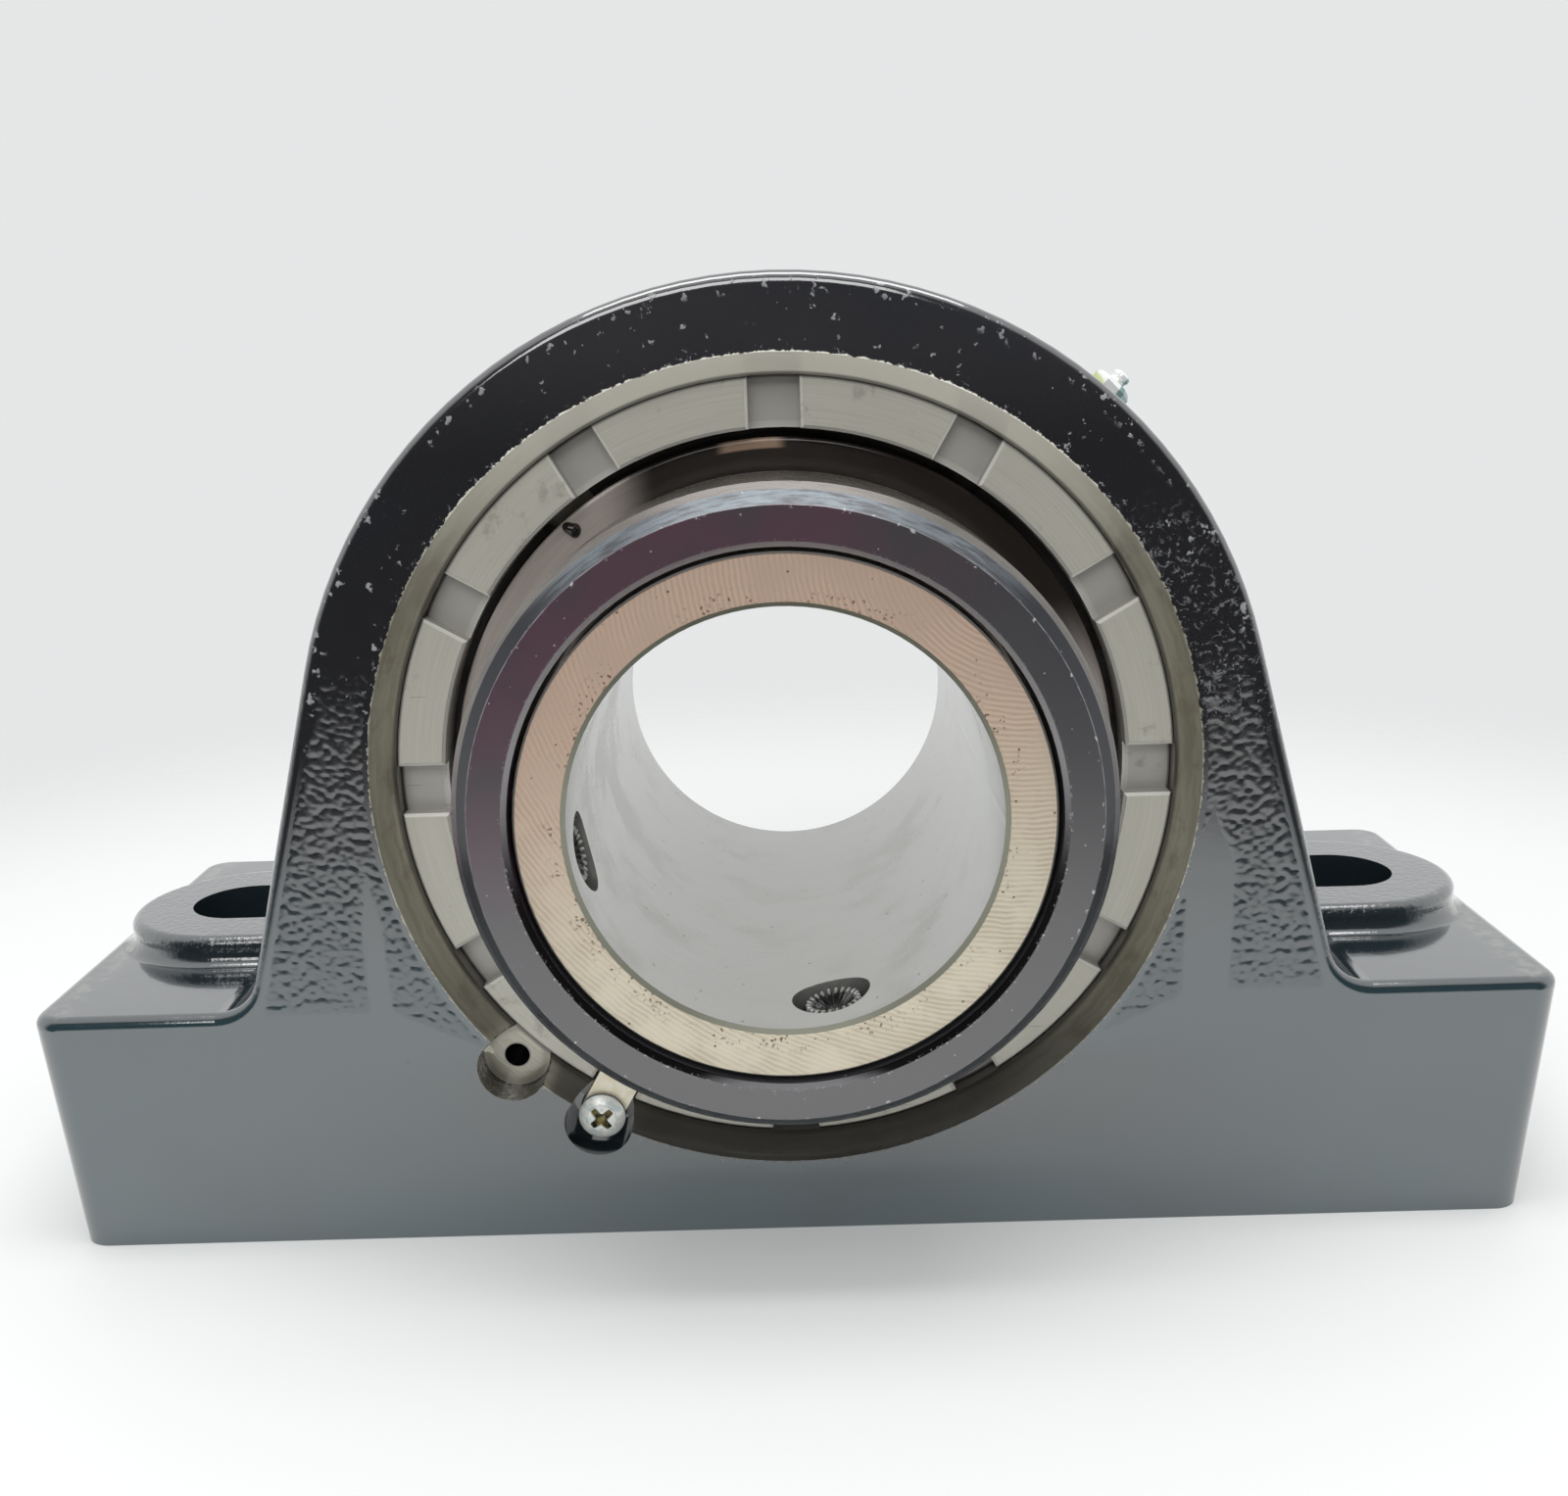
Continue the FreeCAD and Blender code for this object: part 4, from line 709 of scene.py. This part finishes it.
def lock_screw():
    """Domed screw with a cross recess, over the lock tab."""
    columns, head, height, rim_height, shank = 96, 4.3, 2.6, 0.9, 1.6
    rise = height - rim_height
    dome = (head * head + rise * rise) / (2 * rise)
    under = -HOUSING_FACE + 6.2 - 1.2
    twist = math.radians(38)
    points, rows = [], 0

    def add_ring(radius, lift):
        nonlocal rows
        rows += 1
        for column in range(columns):
            turn = 2 * math.pi * column / columns
            x, z = radius * math.cos(turn), radius * math.sin(turn)
            level = lift(x, z) if callable(lift) else lift
            points.append((LOCK_SCREW_X + x, under - level, LOCK_SCREW_Z + z))

    def surface(x, z):
        span = math.hypot(x, z)
        level = math.sqrt(dome * dome - span * span) - dome + height
        u = x * math.cos(twist) + z * math.sin(twist)
        v = -x * math.sin(twist) + z * math.cos(twist)
        arm = 2.55
        slot = 0.0
        for along, across in ((u, v), (v, u)):
            width = 0.72 - 0.10 * abs(along)
            slot = max(slot, ramp(abs(across), width + 0.14, width - 0.06) * ramp(abs(along), arm, arm - 0.9))
        slot = max(slot, ramp(span, 1.25, 0.7))
        return level - 1.5 * slot

    add_ring(0.01, surface)
    for step in range(1, 34):
        add_ring(3.1 * step / 33, surface)
    for radius in (3.4, 3.7, 3.95, 4.15, 4.27):
        add_ring(radius, surface)
    add_ring(head, rim_height)
    add_ring(head, 0.25)
    add_ring(head - 0.15, 0.02)
    add_ring(shank, 0.0)
    add_ring(shank, -9.6)
    add_ring(0.02, -9.9)
    piece = new_piece("lock_screw_cross", (points, wrap(columns, rows)), CROSS_ZINC, "base")
    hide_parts("lock_screw")


def cross_zinc():
    """Bright zinc, with olive dirt and near-black painted shade at the bottom of the recess, and a skirt
    darkened by painted shade.
    """
    s = Surface("cross_zinc")
    cloud = s.noise(s.where, 0.8, 3.0, 0.6)
    color = s.tint(s.step(cloud, 0.4, 0.65), rgb(0.90, 0.90, 0.85), rgb(0.66, 0.74, 0.72))
    reach = s.length(s.calc("SUBTRACT", s.x, LOCK_SCREW_X), s.calc("SUBTRACT", s.z, LOCK_SCREW_Z))
    # Olive dirt and near-black painted shade at the bottom of the recess.
    deep = s.times(s.step(s.y, -44.72, -44.45), s.step(reach, 2.9, 2.6))
    color = s.tint(deep, color, s.tint(s.step(cloud, 0.42, 0.6), rgb(0.30, 0.25, 0.08), rgb(0.02, 0.018, 0.01)))
    # Painted shade: the skirt round the head is near black.
    skirt = s.step(s.y, -43.7, -43.3)
    color = s.tint(s.times(skirt, 0.9), color, rgb(0.05, 0.05, 0.045))
    return s.finish(color, s.lerp(deep, 0.25, 0.1), s.lerp(deep, 0.34, 0.5), s.bump(cloud, 0.015))


def screw_oxide():
    """Black oxide, with a painted highlight on the ridges of the knurled point."""
    s = Surface("screw_oxide")
    cloud = s.noise(s.where, 1.2, 3.0)
    color = s.tint(cloud, rgb(0.006, 0.006, 0.007), rgb(0.018, 0.017, 0.018))
    # Painted highlight: the ridges of the knurled point are light grey.
    ridge = s.step(s.radius, 35.3, 34.95)
    color = s.tint(s.times(ridge, 0.9), color, rgb(0.78, 0.77, 0.74))
    return s.finish(color, s.times(ridge, 0.5), s.lerp(cloud, 0.14, 0.26), s.bump(cloud, 0.01), IOR=2.2)


def grease_fitting():
    """Fitting with a hexagon and a ball nose, standing on the crown at 45 degrees."""
    columns = 72
    profile = ((79.0, 2.4, False), (82.1, 2.4, False), (83.4, 2.7, False), (84.0, 2.9, False),
               (84.1, 3.55, True), (88.7, 3.55, True), (89.5, 2.9, True), (89.6, 1.6, False),
               (90.2, 1.5, False), (90.8, 1.8, False), (91.3, 1.7, False), (91.7, 1.1, False))
    rows = [[(0.02, 79.0)] * columns]
    for height, reach, flats in profile:
        line = [(reach, height)] * columns
        if flats:
            corner = reach / math.cos(math.pi / 6)
            line = [(corner * min(1.0, hexagon_share(column, columns)), height) for column in range(columns)]
        rows.append(line)
    rows.append([(0.02, 91.8)] * columns)
    shape = placed(turn_rows(rows, columns), FITTING_ANGLE, 0.0), wrap(columns, len(rows))
    piece = new_piece("fitting_hexagon", shape, FITTING, "base")
    piece.data.set_sharp_from_angle(angle=math.radians(28))
    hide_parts("grease_fitting")


def wide_flinger():
    """The front flinger: a pressed disc with a hub on the ring and a rolled rim near the cover."""
    columns = 240
    profile = [(42.36, -37.0), (42.36, -39.0), (42.9, -39.25), (43.6, -38.9), (44.2, -38.25), (45.2, -38.02),
               (50.0, -38.0), (55.4, -38.0), (56.2, -38.12), (56.75, -38.1), (57.05, -37.9), (57.12, -37.6),
               (57.0, -37.3), (56.6, -37.16), (50.0, -37.14), (47.0, -37.0), (44.0, -36.72)]
    points = []
    for reach, along in profile:
        for column in range(columns):
            turn = 2 * math.pi * column / columns
            points.append((reach * math.cos(turn), along, AXIS_Z + reach * math.sin(turn)))
    last = (len(profile) - 1) * columns
    faces = wrap(columns, len(profile))
    for column in range(columns):
        following = (column + 1) % columns
        faces.append((last + column, last + following, following, column))
    piece = new_piece("flinger_disc_front", (points, faces), FLINGER, "rotor")
    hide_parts("flinger_front")


def droplet():
    """A bead of dark grease on the flinger."""
    out = Vector((math.cos(BEAD_ANGLE), 0, math.sin(BEAD_ANGLE)))
    around = Vector((-out.z, 0, out.x))
    centre = Vector((0, -38.25, AXIS_Z)) + out * 55.2
    columns, rows = 28, 9
    points = []
    for row in range(rows):
        rise = math.pi / 2 * row / (rows - 1)
        for column in range(columns):
            turn = 2 * math.pi * column / columns
            lump = 1 + 0.16 * math.sin(2 * turn + 0.6) + 0.08 * math.sin(3 * turn)
            flat = math.cos(rise) * lump
            place = centre + out * (1.45 * flat * math.cos(turn)) + around * (1.35 * flat * math.sin(turn))
            points.append(place - Vector((0, 1.2 * math.sin(rise) - 0.3, 0)))
    new_piece("grease_bead", (points, wrap(columns, rows)), GREASE, "rotor")


def make_floor():
    """A pale floor whose far edge fades into the background."""
    material = bpy.data.materials.new("floor")
    material.use_nodes = True
    g = Graph(material.node_tree)
    where = g.node("ShaderNodeTexCoord").outputs["Object"]
    place = g.node("ShaderNodeSeparateXYZ", {0: where})
    reach = g.length(place.outputs[0], place.outputs[1])
    grain = g.noise(where, 3.0, 3.0)
    pale = g.tint(grain, rgb(0.86, 0.87, 0.868), rgb(0.88, 0.885, 0.88))
    shader = g.node("ShaderNodeBsdfPrincipled", {"Base Color": pale, "Roughness": 0.5})
    shader.inputs["Specular IOR Level"].default_value = 0.25
    clear = g.node("ShaderNodeBsdfTransparent")
    fade = g.step(reach, 0.24, 0.5)
    mixed = g.node("ShaderNodeMixShader", {0: fade, 1: shader.outputs[0], 2: clear.outputs[0]})
    g.feed(g.node("ShaderNodeOutputMaterial").inputs["Surface"], mixed.outputs[0])
    mesh = bpy.data.meshes.new("floor")
    side = 0.6
    corners = [(-side, -side, 0), (side, -side, 0), (side, side, 0), (-side, side, 0)]
    mesh.from_pydata(corners, [], [(0, 1, 2, 3)])
    mesh.materials.append(material)
    floor = bpy.data.objects.new("floor", mesh)
    bpy.context.scene.collection.objects.link(floor)


def make_world():
    """White surroundings for the eye and for reflections, with a dark side where the viewer stands."""
    world = bpy.data.worlds.new("world")
    bpy.context.scene.world = world
    world.use_nodes = True
    g = Graph(world.node_tree)
    toward = g.node("ShaderNodeSeparateXYZ", {0: g.node("ShaderNodeTexCoord").outputs["Generated"]})
    ahead = g.step(toward.outputs[1], -0.15, -0.62)
    ahead = g.times(ahead, g.step(toward.outputs[2], 0.88, 0.7))
    path = g.node("ShaderNodeLightPath")
    glossy = g.lerp(ahead, 0.95, 0.03)
    mirrored = g.most(path.outputs["Is Glossy Ray"], path.outputs["Is Transmission Ray"])
    strength = g.lerp(path.outputs["Is Camera Ray"], g.lerp(mirrored, 0.74, glossy), 0.80)
    shader = g.node("ShaderNodeBackground", {"Color": rgb(0.985, 0.995, 1.0), "Strength": strength})
    g.feed(g.node("ShaderNodeOutputWorld").inputs["Surface"], shader.outputs[0])


def lamp(name, place, target, width, depth, radiance):
    """A rectangular soft light of a stated brightness, pointed at a target."""
    data = bpy.data.lights.new(name, "AREA")
    data.shape = "RECTANGLE"
    data.size, data.size_y = width, depth
    data.energy = radiance * width * depth * math.pi
    light = bpy.data.objects.new(name, data)
    light.location = place
    light.rotation_mode = "QUATERNION"
    light.rotation_quaternion = (Vector(target) - Vector(place)).to_track_quat("-Z", "Y")
    bpy.context.scene.collection.objects.link(light)


def make_lights():
    lamp("overhead", (0.0, -0.06, 1.0), (0, -0.06, 0), 0.9, 0.34, 4.1)
    lamp("front_fill", (-0.15, -1.0, 0.75), (0, 0, 0.06), 0.8, 0.5, 3.3)


ENAMEL = black_enamel("black_enamel")
CAST_ENAMEL = black_enamel("cast_enamel", skin=True)
SCREW_OXIDE = screw_oxide()
CROSS_ZINC = cross_zinc()
FITTING = fitting_zinc()
FLINGER = flinger_steel()
GREASE = plain_material("grease", (0.006, 0.005, 0.005), (0.02, 0.015, 0.012), 0.1, 0.6, 0.02)

make_camera()
make_world()
make_lights()
make_floor()
dress_nodes()
make_cast_skins()
set_screw("set_screw_knurled_1", "set_screw_1", "screw_1", SCREW_1_ANGLE)
set_screw("set_screw_knurled_2", "set_screw_2", "screw_2", SCREW_2_ANGLE)
lock_screw()
grease_fitting()
wide_flinger()
droplet()

bpy.context.scene.view_settings.view_transform = "Standard"
